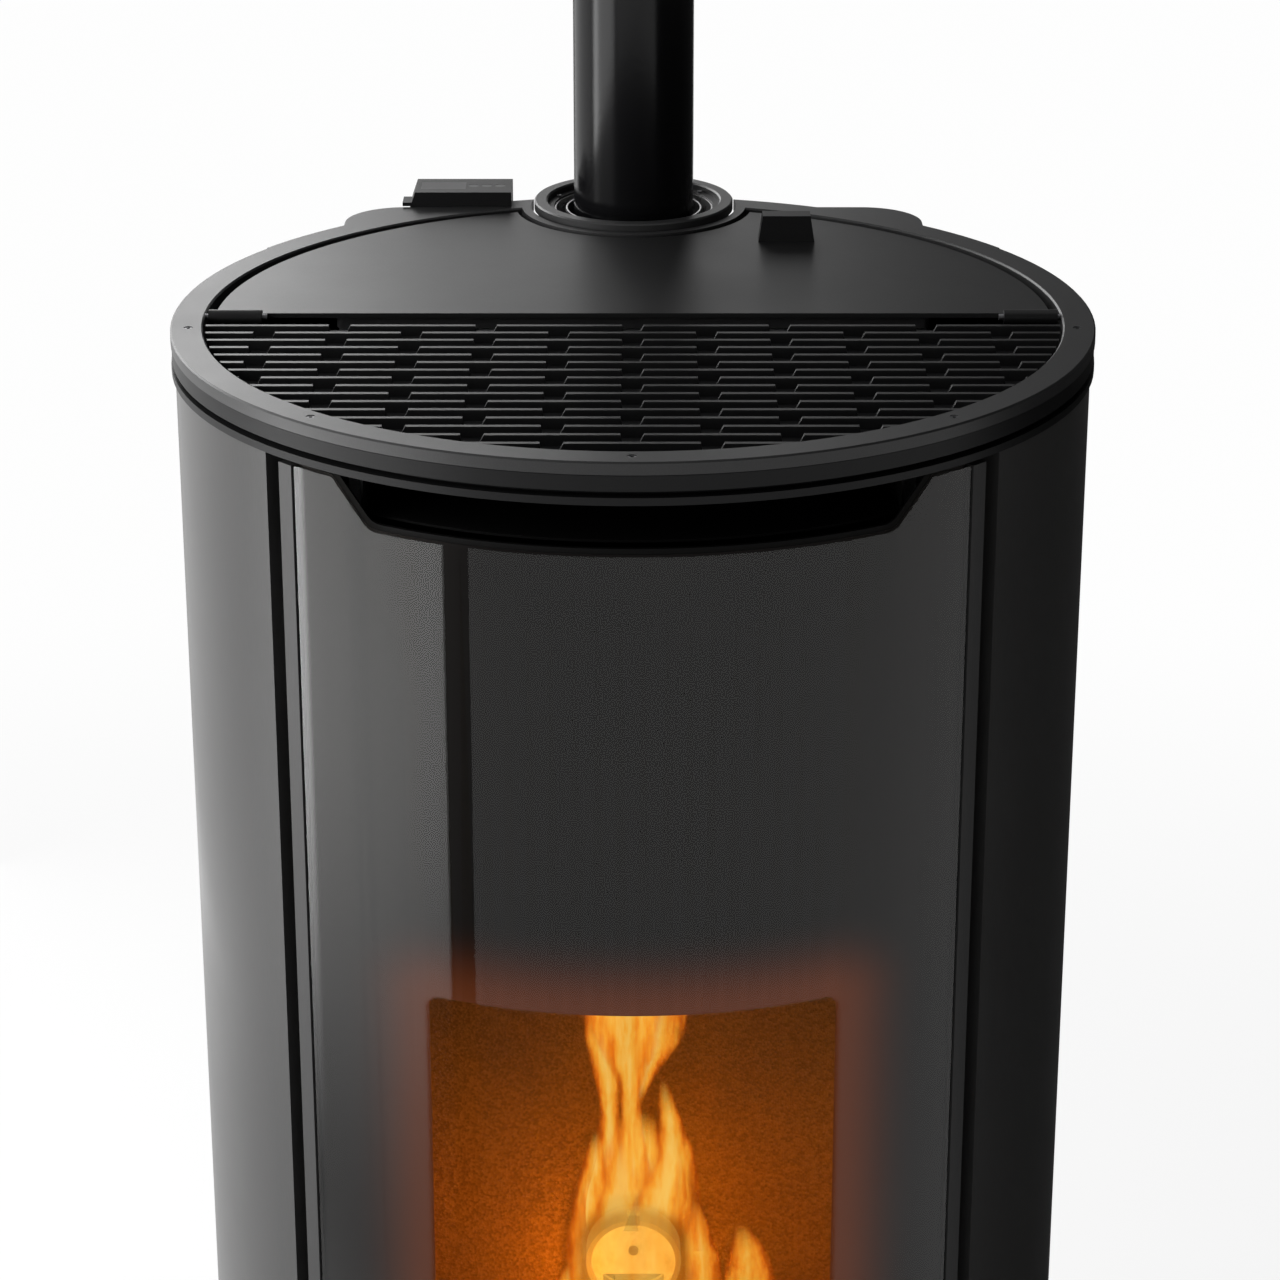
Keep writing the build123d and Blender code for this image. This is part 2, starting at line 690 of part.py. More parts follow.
def heat_exchanger_box():
    box = block((-150, 150), (-200, -20), EXCHANGER_Z)
    box -= block((-147, 147), (-197, -23), (EXCHANGER_Z[0], EXCHANGER_Z[1] - STEEL_T))
    for x, z in air_tube_places():
        box -= rod(AIR_TUBE_R, (x, -FAR, z), (x, 0, z))
    return box - block((SMOKE_FAN_X - 28, SMOKE_FAN_X + 28), (-30, 0), (975, 995))


def air_tube_places():
    """Two staggered rows of tubes."""
    for row, z in enumerate((1014, 1050)):
        for step in range(6 - row):
            yield (step - (5 - row) / 2) * 46, z


def heat_exchanger_tubes():
    for x, z in air_tube_places():
        yield pipe(AIR_TUBE_R, AIR_TUBE_R - 2, (x, -201, z), (x, -19, z))


# Firebox


def firebox_shell():
    """Welded plates: two sides, floor, roof, back, and a front of stiles and rails."""
    side = FIRE_HALF_W + SIDE_LINING_T
    back = FIRE_BACK_Y + LINING_T
    depth = (FIRE_FRONT_Y, back + SHELL_T)
    inner_z = (FIRE_Z[0] + SHELL_T, FIRE_Z[1] - SHELL_T)
    yield from both_sides(block((side, side + SHELL_T), depth, FIRE_Z))
    yield block((-side, side), depth, (FIRE_Z[0], inner_z[0]))
    roof = block((-side, side), depth, (inner_z[1], FIRE_Z[1]))
    yield roof - block((-130, 130), (-190, -150), (inner_z[1], FIRE_Z[1]))
    rear = block((-side, side), (back, back + SHELL_T), inner_z)
    rear -= rod(INTAKE_BORE_R, (INTAKE_X, -60, INTAKE_Z), (INTAKE_X, 0, INTAKE_Z))
    yield rear - rod(6, (0, -60, 455), (0, 0, 455)) - chute_core(CHUTE_R)
    front_y = (FIRE_FRONT_Y, FIRE_FRONT_Y + SHELL_T)
    yield from both_sides(block((FRONT_OPENING_X, side), front_y, inner_z))
    door_opening = (TUNNEL_Z[0] - 4, TUNNEL_Z[1] + 2)
    rail_edges = (inner_z[0], *ASH_OPENING_Z, *door_opening, inner_z[1])
    for low, high in zip(rail_edges[::2], rail_edges[1::2]):
        yield block((-FRONT_OPENING_X, FRONT_OPENING_X), front_y, (low, high))


def lining(x_span, y_span):
    """One upright lining board on the fire floor."""
    return block(x_span, y_span, (FLOOR_Z[1], FIRE_Z[1] - SHELL_T))


def back_lining():
    side = FIRE_HALF_W + SIDE_LINING_T
    return lining((-side, side), (FIRE_BACK_Y, FIRE_BACK_Y + LINING_T)) - chute_core(CHUTE_R)


def side_linings():
    board = lining((FIRE_HALF_W, FIRE_HALF_W + SIDE_LINING_T), (FIRE_FRONT_Y + SHELL_T, FIRE_BACK_Y))
    return both_sides(board)


def baffle_board():
    return block((-FIRE_HALF_W, FIRE_HALF_W), (-140, FIRE_BACK_Y), (932, 944))


def baffle_supports():
    shelf = block((FIRE_HALF_W - 12, FIRE_HALF_W), (-138, FIRE_BACK_Y), (928, 932))
    return both_sides(shelf)


def fire_floor():
    side = FIRE_HALF_W + SIDE_LINING_T
    floor = block((-side, side), (FIRE_FRONT_Y + SHELL_T, FIRE_BACK_Y + LINING_T), FLOOR_Z)
    hole_y = (POT_Y[0] - 1, POT_Y[1] + 1)
    return floor - block((-POT_X - 1, POT_X + 1), hole_y, FLOOR_Z)


def burn_pot():
    pot = block((-POT_X, POT_X), POT_Y, POT_Z)
    lip_y = (POT_Y[0] - POT_LIP, POT_Y[1] + POT_LIP)
    pot += block((-POT_X - POT_LIP, POT_X + POT_LIP), lip_y, (FLOOR_Z[1], FLOOR_Z[1] + 5))
    inner_y = (POT_Y[0] + POT_WALL, POT_Y[1] - POT_WALL)
    inner_x = (-POT_X + POT_WALL, POT_X - POT_WALL)
    pot -= block(inner_x, inner_y, (POT_Z[0] + POT_WALL, POT_Z[1]))
    for column in range(-3, 4):
        for row in range(-2, 3):
            x, y = 12 * column, sum(POT_Y) / 2 + 13 * row
            pot -= rod(2.5, (x, y, POT_Z[0]), (x, y, POT_Z[0] + POT_WALL))
    return pot


def chute_direction():
    """Unit step up the chute, from its mouth in the firebox."""
    return Vector(0, cos(radians(CHUTE_SLOPE)), sin(radians(CHUTE_SLOPE)))


def chute_core(radius):
    """Round core of the feed chute, from the firebox to the feed tube."""
    mouth = Vector(0, FIRE_BACK_Y + 10, BOSS_Z)
    step = chute_direction()
    return rod(radius, tuple(mouth - step * 60), tuple(mouth + step * 92))


def pellet_chute():
    chute = chute_core(CHUTE_R) - chute_core(CHUTE_R - 2)
    chute &= block((-FAR, FAR), (FIRE_BACK_Y, FAR), (0, TOP_Z))
    return chute - auger_core(AUGER_R)


def chute_head():
    """Round mouth of the chute: a hooded ring with a notch and an open foot."""
    face_y = FIRE_BACK_Y - BOSS_L
    head = rod(BOSS_R, (0, FIRE_BACK_Y, BOSS_Z), (0, face_y, BOSS_Z))
    head -= rod(BOSS_R - 3.5, (0, FIRE_BACK_Y, BOSS_Z), (0, face_y + 4, BOSS_Z))
    head -= rod(BOSS_R - 3.5, (0, face_y + 2, BOSS_Z), (0, face_y - 1, BOSS_Z))
    head -= block((-20, 20), (face_y - 1, FIRE_BACK_Y - 3), (BOSS_Z - 40, BOSS_Z - 10))
    return head - block((-4, 4), (face_y - 1, FIRE_BACK_Y - 6), (BOSS_Z + BOSS_R - 6, BOSS_Z + BOSS_R + 1))


def chute_head_screw():
    face_y = FIRE_BACK_Y - BOSS_L + 2
    head = rod(3.2, (0, face_y, BOSS_Z + 8), (0, face_y - 1.8, BOSS_Z + 8))
    return head - block((-4, 4), (face_y - 2, face_y - 1), (BOSS_Z + 7.5, BOSS_Z + 8.5))


def igniter():
    rod_end = POT_Y[1] + 2
    heater = rod(5, (0, rod_end, 455), (0, 4, 455))
    return heater + rod(9, (0, FIRE_BACK_Y + LINING_T + SHELL_T, 455), (0, 4, 455))


# Ash drawer


def ash_drawer_front():
    """Curved front that carries the pan on two arms."""
    front = slab(front_band(TRIM_R, TRIM_R - 3, TRIM_ANGLES[1]), DRAWER_Z)
    arm = block((60, 84), (-TRIM_R, PAN_Y[0]), (345, 365)) & slab(Circle(TRIM_R - 2), (0, TOP_Z))
    for side in both_sides(arm):
        front += side
    finger_lip = slab(front_band(TRIM_R - 3, TRIM_R - 14, 14), (DRAWER_Z[1] - 3, DRAWER_Z[1]))
    return front + finger_lip


def ash_pan():
    return tray((-PAN_HALF_W, PAN_HALF_W), PAN_Y, PAN_Z, 1.5)


def pan_runners():
    """Rails on the floor of the ash chamber that the pan slides on."""
    floor = FIRE_Z[0] + SHELL_T
    rail = block((96, 108), (FIRE_FRONT_Y + SHELL_T, -30), (floor, PAN_Z[0] - 0.3))
    return both_sides(rail)


# Hopper and feed


def tube_plate(x_span, y_span, wall, side):
    """Plan of one of the four plates of a rectangular tube, mitred at its ends."""
    corners = []
    for inset in (0, wall):
        xs = (x_span[0] + inset, x_span[1] - inset)
        ys = (y_span[0] + inset, y_span[1] - inset)
        corners.append([(xs[0], ys[0]), (xs[1], ys[0]), (xs[1], ys[1]), (xs[0], ys[1])])
    outer, inner = corners
    after = (side + 1) % 4
    return Polygon(outer[side], outer[after], inner[after], inner[side], align=None)


def hopper():
    """Four upright plates over the four slanting plates of the funnel."""
    mouth = ((-MOUTH_HALF_W, MOUTH_HALF_W), MOUTH_Y)
    throat = ((-THROAT_HALF_W, THROAT_HALF_W), THROAT_Y)
    for side in range(4):
        wide = tube_plate(*mouth, PANEL_T, side)
        narrow = tube_plate(*throat, PANEL_T, side)
        yield slab(wide, (TAPER_Z[1], MOUTH_Z))
        yield loft([Pos(0, 0, TAPER_Z[0]) * narrow, Pos(0, 0, TAPER_Z[1]) * wide], ruled=True)


def hopper_deck():
    """Flat deck under the lid, round the hopper's mouth."""
    outline = (Circle(262) & rear_half(-4)) - flue_disc(SCOOP_R + 1)
    mouth = Rectangle(2 * MOUTH_HALF_W, MOUTH_Y[1] - MOUTH_Y[0])
    span = (LOWER_RING_Z[0] - 2, LOWER_RING_Z[0])
    deck = slab(outline & plan(BODY_INSET + PANEL_T + 0.2), span)
    for x, y in ((143, 200), (-143, 200)):
        deck -= block((x - 18, x + 18), (y - 12, y + 20), span)
    return deck - slab(Pos(0, sum(MOUTH_Y) / 2) * mouth, span)


def hopper_guard():
    """Finger guard of two layers of flat bars in a frame, resting on the funnel."""
    low, middle, high = GUARD_Z[0], sum(GUARD_Z) / 2, GUARD_Z[1]
    for y_span in ((18, 24), (158, 164)):
        yield block((-174, 174), y_span, GUARD_Z)
    yield from both_sides(block((168, 174), (24, 158), GUARD_Z))
    for step in range(-4, 5):
        yield block((36 * step - 1.5, 36 * step + 1.5), (24, 158), (low, middle))
    for y in (58, 91, 124):
        yield block((-168, 168), (y - 1.5, y + 1.5), (middle, high))


def auger_axis():
    """The feed tube's lower and upper points and its direction."""
    low, high = Vector(0, *AUGER_LOW), Vector(0, *AUGER_HIGH)
    return low, high, (high - low).normalized()


def auger_core(radius, margin=25.0):
    """Round core of the inclined feed tube."""
    low, high, step = auger_axis()
    return rod(radius, tuple(low - step * margin), tuple(high + step * margin))


def auger_tube():
    """Inclined feed tube with the neck that joins it to the funnel."""
    neck_x, neck_y = (-THROAT_HALF_W, THROAT_HALF_W), (THROAT_Y[0] - 2, THROAT_Y[1])
    inner_x = (neck_x[0] + PANEL_T, neck_x[1] - PANEL_T)
    inner_y = (neck_y[0] + PANEL_T, neck_y[1] - PANEL_T)
    tube = auger_core(AUGER_R) + block(neck_x, neck_y, (425, TAPER_Z[0]))
    tube -= auger_core(AUGER_BORE_R, 22)
    tube -= block(inner_x, inner_y, (440, TAPER_Z[0]))
    low, _, step = auger_axis()
    tube -= rod(6, tuple(low - step * 30), tuple(low))
    return tube - chute_core(CHUTE_R - 2)


def auger_screw():
    """Shaft with one helical flight."""
    low, high, step = auger_axis()
    length = (high - low).length
    turns_length = length - 10
    path = Helix(FLIGHT_PITCH, turns_length, 16)
    section = Plane(path @ 0, x_dir=(1, 0, 0), z_dir=path % 0) * Rectangle(20, 2.5)
    flight = sweep(section, path, is_frenet=True)
    shaft = Pos(0, 0, (length - 5) / 2) * Cylinder(8, length + 35)
    journal = Pos(0, 0, -36) * Cylinder(5.95, 40)
    flight = flight & Pos(0, 0, turns_length / 2) * Cylinder(FLIGHT_R, 2 * turns_length)
    place = Plane(origin=low, z_dir=step)
    return place * (shaft.fuse(flight, journal))


def auger_gearmotor():
    low, _, step = auger_axis()
    place = Plane(origin=low - step * 25, z_dir=-step)
    gearbox = Pos(0, 0, 18) * Box(56, 50, 36)
    motor = Pos(0, 0, 56) * Cylinder(24, 40)
    return place * (gearbox + motor - Pos(0, 0, 10) * Cylinder(6.4, 46))


# Smoke path


def smoke_duct():
    """Sheet duct from the exchanger down to the smoke fan's inlet."""
    back = FIRE_BACK_Y + LINING_T + SHELL_T
    low_x, high_x = SMOKE_FAN_X - 35, SMOKE_FAN_X + 35
    duct = block((low_x, high_x), (back, 9), (148, 1050))
    duct -= block((low_x + 2, high_x - 2), (back + 2, 7), (150, 1048))
    inlet = (SMOKE_FAN_X, 8, SMOKE_FAN_Z), (SMOKE_FAN_X, SMOKE_FAN_Y[0], SMOKE_FAN_Z)
    duct += rod(32, *inlet)
    duct -= rod(30, (SMOKE_FAN_X, 0, SMOKE_FAN_Z), inlet[1])
    duct -= block((low_x + 7, high_x - 7), (back - 5, back + 5), (975, 995))
    return duct


def scroll(inset):
    """Round fan case joined to the square duct that leads to the tee."""
    y_span = (SMOKE_FAN_Y[0] + inset, SMOKE_FAN_Y[1] - inset)
    middle = [(SMOKE_FAN_X, y, SMOKE_FAN_Z) for y in y_span]
    leg_x, leg_z = (-42 + inset, SMOKE_FAN_X), (TEE_Z - 42 + inset, TEE_Z + 42 - inset)
    return rod(SMOKE_FAN_R - inset, *middle) + block(leg_x, y_span, leg_z)


def smoke_fan_housing():
    housing = scroll(0) - scroll(2)
    eye = (SMOKE_FAN_X, SMOKE_FAN_Y[0] - 5, SMOKE_FAN_Z), (SMOKE_FAN_X, SMOKE_FAN_Y[0] + 5, SMOKE_FAN_Z)
    housing -= rod(30, *eye)
    housing -= rod(7, (SMOKE_FAN_X, 170, SMOKE_FAN_Z), (SMOKE_FAN_X, 190, SMOKE_FAN_Z))
    outlet = (0, SMOKE_FAN_Y[1] - 1, TEE_Z), (0, FLUE_Y - 54, TEE_Z)
    housing += rod(PIPE_R - 4, *outlet)
    return housing - rod(PIPE_R - 5.5, (0, 170, TEE_Z), outlet[1])


def smoke_fan_impeller():
    back_y = SMOKE_FAN_Y[1] - 8
    wheel = rod(54, (0, back_y - 2, 0), (0, back_y, 0)) + rod(10, (0, back_y - 26, 0), (0, back_y, 0))
    for step in range(8):
        blade = block((9, 52), (back_y - 24, back_y - 1), (-1, 1))
        wheel += Rot(0, 45 * step, 0) * blade
    wheel += rod(4, (0, back_y - 1, 0), (0, SMOKE_FAN_Y[1] + 14, 0))
    return Pos(SMOKE_FAN_X, 0, SMOKE_FAN_Z) * wheel


def smoke_fan_motor():
    low, high = SMOKE_FAN_Y[1], SMOKE_FAN_Y[1] + 46
    middle = [(SMOKE_FAN_X, y, SMOKE_FAN_Z) for y in (low + 4, high)]
    motor = rod(34, *middle)
    for angle in (45, 135, 225, 315):
        x, z = 30 * cos(radians(angle)), 30 * sin(radians(angle))
        ends = [(SMOKE_FAN_X + x, y, SMOKE_FAN_Z + z) for y in (low, low + 6)]
        motor += rod(3, *ends)
    bore = [(SMOKE_FAN_X, y, SMOKE_FAN_Z) for y in (low, low + 16)]
    return motor - rod(4 + RUNNING, *bore)


# Room fan and air intake


def room_fan_housing():
    """Cross-flow blower case, open along its top and front, on two feet."""
    case_x = (-ROOM_FAN_HALF_L, ROOM_FAN_HALF_L)
    case = rod(40, (case_x[0], 0, 0), (case_x[1], 0, 0))
    case -= rod(38, (case_x[0] + 2, 0, 0), (case_x[1] - 2, 0, 0))
    case -= block((case_x[0] + 2, case_x[1] - 2), (-18, 18), (20, 60))
    case -= block((case_x[0] + 2, case_x[1] - 2), (-60, -20), (-20, 20))
    for foot in both_sides(block((90, ROOM_FAN_HALF_L), (-12, 12), (BASE_PLATE_Z[1] - ROOM_FAN_Z, -38.5))):
        case += foot
    case -= rod(5, (case_x[0] - 5, 0, 0), (case_x[1] + 5, 0, 0))
    return Pos(0, ROOM_FAN_Y, ROOM_FAN_Z) * case


def room_fan_rotor():
    """Two end discs and a middle disc joined by a cage of blades."""
    reach = ROOM_FAN_HALF_L - 6
    rotor = rod(3.5, (-ROOM_FAN_HALF_L - 4, 0, 0), (ROOM_FAN_HALF_L + 12, 0, 0))
    for x in (-reach, -1, reach - 2):
        rotor += rod(32, (x, 0, 0), (x + 2, 0, 0))
    for step in range(16):
        blade = block((-reach, reach), (25, 31), (-0.6, 0.6))
        rotor += Rot(22.5 * step, 0, 0) * blade
    return Pos(0, ROOM_FAN_Y, ROOM_FAN_Z) * rotor


def room_fan_motor():
    start = ROOM_FAN_HALF_L
    motor = rod(26, (start + 6, 0, 0), (start + 44, 0, 0)) + rod(12, (start, 0, 0), (start + 7, 0, 0))
    motor -= rod(3.5 + RUNNING, (start, 0, 0), (start + 14, 0, 0))
    return Pos(0, ROOM_FAN_Y, ROOM_FAN_Z) * motor


def air_intake_pipe():
    inner, shoulder, outer = [
        (INTAKE_X, y, INTAKE_Z) for y in (FIRE_BACK_Y + LINING_T + SHELL_T, *INTAKE_Y)
    ]
    duct = rod(INTAKE_DUCT_R, inner, shoulder) + rod(INTAKE_R, shoulder, outer)
    return duct - rod(INTAKE_BORE_R, inner, outer)


# Electrics


def control_panel_case():
    """Housing at the back of the top, slanted at its left end."""
    low, high = CASE_Z
    points = [(CASE_X[0], low), (CASE_X[1], low), (CASE_X[1], high), (CASE_X[0] + 3.5, high)]
    points += [(CASE_X[0], high - 10)]
    depth = CASE_Y[1] - CASE_Y[0]
    case = Plane.XZ.offset(-CASE_Y[1]) * extrude(Polygon(*points, align=None), depth)
    case -= slab(plan(-0.4), (low, TOP_Z + 0.2))
    inner_x = (CASE_X[0] + 4, CASE_X[1] - 2)
    inner_y = (CASE_Y[0] + 2, CASE_Y[1] - 2)
    case -= block(inner_x, inner_y, (low + 2, high - 2.5)) - slab(plan(-2.4), (low, TOP_Z + 2.2))
    case += block((CASE_X[0] - 5, CASE_X[0] + 2), (CASE_Y[0], CASE_Y[0] + 16), (TOP_Z + 0.5, TOP_Z + 3))
    arm = block((-146, -126), (REAR_Y - BODY_INSET, CASE_Y[0] + 2), (low, LOWER_RING_Z[0] - 3))
    case += arm
    case -= display_block(1.2)
    for x in BUTTON_XS:
        case -= rod(BUTTON_R + 0.1, (x, BUTTON_Y, high - 5), (x, BUTTON_Y, high + 1))
    return case


def display_block(depth):
    """Space of the display window in the top of its case."""
    return block((-143, -113), (261, 279), (CASE_Z[1] - depth, CASE_Z[1]))


def display_lens():
    return display_block(1.2)


def panel_button(x):
    """Round key, flush with the case, with a collar that keeps it in."""
    key = rod(BUTTON_R, (x, BUTTON_Y, CASE_Z[1] - 6), (x, BUTTON_Y, CASE_Z[1] - 0.1))
    return key + rod(BUTTON_R + 0.8, (x, BUTTON_Y, CASE_Z[1] - 6), (x, BUTTON_Y, CASE_Z[1] - 2.6))


def power_inlet():
    """Plate with a recessed three-pin inlet and the pocket of the switch."""
    body = block(INLET_X, (INLET_FACE_Y - 21, INLET_FACE_Y), INLET_Z)
    socket_x = (INLET_X[0] + 4, INLET_X[0] + 32)
    floor_y = INLET_FACE_Y - 18
    body -= block(socket_x, (floor_y, INLET_FACE_Y), (INLET_Z[0] + 8, INLET_Z[1] - 8))
    middle = sum(socket_x) / 2
    for x, z in ((middle - 7, 132), (middle, 136), (middle + 7, 132)):
        body += block((x - 1, x + 1), (floor_y, floor_y + 8), (z - 2, z + 2))
    pocket_z = (ROCKER_Z - 12, ROCKER_Z + 12)
    body -= block((ROCKER_X - 7.6, ROCKER_X + 7.6), (INLET_FACE_Y - 12, INLET_FACE_Y), pocket_z)
    return body - rocker_pin(1.5, 9.5)


def rocker_pin(radius, half_length):
    """Pivot of the rocker, across the switch."""
    ends = [(ROCKER_X + x, INLET_FACE_Y - 4, ROCKER_Z) for x in (-half_length, half_length)]
    return rod(radius, *ends)


def power_switch():
    """Rocker with two shallow slopes, at rest with its lower half in."""
    points = [(-5, 0), (-4, -9), (0.6, -9.5), (1.6, 0), (0.6, 9.5), (-4, 9)]
    rocker = Plane.YZ.offset(-7) * extrude(Polygon(*points, align=None), 14)
    place = Pos(ROCKER_X, INLET_FACE_Y - 4, ROCKER_Z) * Rot(-9, 0, 0)
    return place * rocker + rocker_pin(1.5 - RUNNING, 9.3)


def board_bracket():
    upright = block((-178, -176), (40, 160), (BASE_PLATE_Z[1], 320))
    return upright + block((-178, -158), (40, 160), (BASE_PLATE_Z[1], BASE_PLATE_Z[1] + 2))


def control_board():
    """Circuit board on four posts, with a transformer, relays and terminals."""
    board = block((-170, -168.4), (46, 154), (90, 310))
    for y in (54, 146):
        for z in (98, 302):
            board += rod(3, (-176, y, z), (-168.4, y, z))
    board += block((-168.4, -138), (62, 98), (240, 284))
    for step in range(4):
        low = 56 + 24 * step
        board += block((-168.4, -152), (low, low + 18), (190, 218))
    board += block((-168.4, -158), (52, 148), (96, 108))
    return board


def save_top():
    """Writes the rim, the grille, the lid and its hardware."""
    save("top_ring", top_ring())
    save("mid_ring", mid_ring())
    save("lower_ring", lower_ring())
    save("top_grille", top_grille())
    save("hopper_lid", hopper_lid())
    save("lid_hinge_pins", *lid_hinge_pins())
    save("lid_grip", lid_grip())
    save("lid_seal", lid_seal())
    save("small_screws", *rim_screws(), *flue_screws(), chute_head_screw())


def save_flue():
    """Writes the flue, from the clean-out cap up to the open socket."""
    save("flue_collar", flue_collar())
    save("flue_sleeves", *flue_sleeves(), sleeve_plate())
    save("flue_pipe", flue_pipe())
    save("flue_riser", flue_riser(), flue_tee())
    save("cleanout_cap", cleanout_cap())
    save("flue_jacket", flue_jacket())


def save_casing():
    """Writes the panels, the frame and the base."""
    left_panel, right_panel = side_panels()
    save("side_panel_left", left_panel)
    save("side_panel_right", right_panel)
    save("rear_panel", rear_panel())
    save("lower_front_panel", lower_front_panel(), *front_panel_brackets())
    save("base_plate", base_plate(), bottom_ring())
    save("plinth_skirt", plinth_skirt())
    save("levelling_feet", *levelling_feet())
    save("frame_posts", *frame_posts())


def save_door():
    """Writes the glazed door and its hinges."""
    save("door_glass", door_glass())
    save("glass_print", glass_print())
    save("door_frame", *door_frame())
    save("door_gasket", door_gasket())
    save("door_trims", *door_trims())
    save("door_hinges", *door_hinge_pins(), *door_hinge_brackets())


def save_fire_side():
    """Writes the firebox, the pot, the ash drawer and the warm air path."""
    save("air_vent_duct", air_vent_duct(), vent_blade())
    save("heat_exchanger", heat_exchanger_box(), *heat_exchanger_tubes())
    save("firebox_shell", *firebox_shell(), *pan_runners())
    save("firebox_linings", back_lining(), *side_linings())
    save("baffle_board", baffle_board(), *baffle_supports())
    save("fire_floor", fire_floor())
    save("burn_pot", burn_pot())
    save("chute_head", chute_head())
    save("igniter", igniter())
    save("ash_drawer_front", ash_drawer_front())
    save("ash_pan", ash_pan())


def save_feed():
    """Writes the hopper and the feed screw."""
    save("hopper", *hopper())
    save("hopper_deck", hopper_deck())
    save("hopper_guard", *hopper_guard())
    save("auger_tube", auger_tube(), pellet_chute())
    save("auger_screw", auger_screw())
    save("auger_gearmotor", auger_gearmotor())


def save_air_and_electrics():
    """Writes the fans, the air intake, the controls and the mains inlet."""
    save("smoke_duct", smoke_duct())
    save("smoke_fan_housing", smoke_fan_housing(), smoke_fan_motor())
    save("smoke_fan_impeller", smoke_fan_impeller())
    save("room_fan_housing", room_fan_housing(), room_fan_motor())
    save("room_fan_rotor", room_fan_rotor())
    save("air_intake_pipe", air_intake_pipe())
    save("control_panel_case", control_panel_case())
    save("display_lens", display_lens())
    for number, x in enumerate(BUTTON_XS, start=1):
        save(f"panel_button_{number}", panel_button(x))
    save("power_inlet", power_inlet())
    save("power_switch", power_switch())
    save("control_board", control_board(), board_bracket())


save_top()
save_flue()
save_casing()
save_door()
save_fire_side()
save_feed()
save_air_and_electrics()
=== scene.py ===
"""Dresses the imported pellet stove: finishes, fire, light and camera."""

import logging
import math
import random
from dataclasses import dataclass
from enum import Enum

import bmesh
import bpy
from mathutils import Euler, Matrix, Vector


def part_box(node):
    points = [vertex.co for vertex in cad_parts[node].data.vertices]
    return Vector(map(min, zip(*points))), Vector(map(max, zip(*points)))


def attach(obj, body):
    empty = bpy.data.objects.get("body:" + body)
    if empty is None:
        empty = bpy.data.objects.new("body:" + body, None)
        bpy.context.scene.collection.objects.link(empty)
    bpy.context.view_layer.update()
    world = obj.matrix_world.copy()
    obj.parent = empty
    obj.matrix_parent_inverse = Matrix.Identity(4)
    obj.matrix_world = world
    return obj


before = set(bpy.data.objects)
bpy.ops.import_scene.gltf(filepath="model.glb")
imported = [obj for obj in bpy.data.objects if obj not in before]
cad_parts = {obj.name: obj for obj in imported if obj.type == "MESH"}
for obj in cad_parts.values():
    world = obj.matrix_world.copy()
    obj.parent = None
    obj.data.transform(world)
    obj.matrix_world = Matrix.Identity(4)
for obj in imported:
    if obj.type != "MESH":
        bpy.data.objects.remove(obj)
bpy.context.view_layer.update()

MILLIMETRE = 0.001
LOG = logging.getLogger("stove")

Triple = tuple[float, float, float]
Colour = Triple
Span = tuple[float, float]

UNSTRETCHED: Triple = (1.0, 1.0, 1.0)
WHITE: Colour = (1.0, 1.0, 1.0)
BLACK: Colour = (0.0, 0.0, 0.0)

# Sockets of a Mix node that mixes colours.
MIX_FIRST, MIX_SECOND, MIX_RESULT = 6, 7, 2

# Materials that are already made, by the finish's name.
MADE: dict[str, bpy.types.Material] = {}


# Shader graph


class Field:
    """One output socket, which joins in sums written with Python's operators."""

    def __init__(self, graph: "Graph", socket: bpy.types.NodeSocket) -> None:
        """Keeps the socket and the graph it belongs to."""
        self.graph = graph
        self.socket = socket

    def _math(self, operation: str, first: "Term", second: "Term") -> "Field":
        """Adds one Math node to the graph.

        Args:
            operation: the Math node's operation.
            first: its first value.
            second: its second value.

        Returns:
            The node's output.
        """
        return self.graph.add("Math", {"operation": operation}, {0: first, 1: second})

    def __add__(self, other: "Term") -> "Field":
        """Sum."""
        return self._math("ADD", self, other)

    __radd__ = __add__

    def __sub__(self, other: "Term") -> "Field":
        """Difference."""
        return self._math("SUBTRACT", self, other)

    def __rsub__(self, other: "Term") -> "Field":
        """Difference from a number."""
        return self._math("SUBTRACT", other, self)

    def __mul__(self, other: "Term") -> "Field":
        """Product."""
        return self._math("MULTIPLY", self, other)

    __rmul__ = __mul__

    def __pow__(self, other: "Term") -> "Field":
        """Power."""
        return self._math("POWER", self, other)

    def largest(self, other: "Term") -> "Field":
        """Larger of two values."""
        return self._math("MAXIMUM", self, other)

    def sized(self) -> "Field":
        """Value without its sign."""
        return self._math("ABSOLUTE", self, 0.0)

    def reach(self, other: "Field") -> "Field":
        """Distance that two perpendicular distances make."""
        return (self * self + other * other) ** 0.5

    def swing(self, width: float) -> "Field":
        """A value from 0 to 1 turned into a swing of a given width about nought."""
        return (self - 0.5) * width

    def sibling(self, output: "str | int") -> "Field":
        """Another output of the same node."""
        return Field(self.graph, self.socket.node.outputs[output])


Term = Field | float


@dataclass(frozen=True)
class Grain:
    """Noise: features per metre, octaves, how strong the fine ones are, and its stretch."""

    scale: float
    detail: float = 3.0
    roughness: float = 0.5
    stretch: Triple = UNSTRETCHED


@dataclass(frozen=True)
class Window:
    """Clear opening in the door's print, with rounded corners. Sizes in metres."""

    half_width: float
    z_span: Span
    corner: float


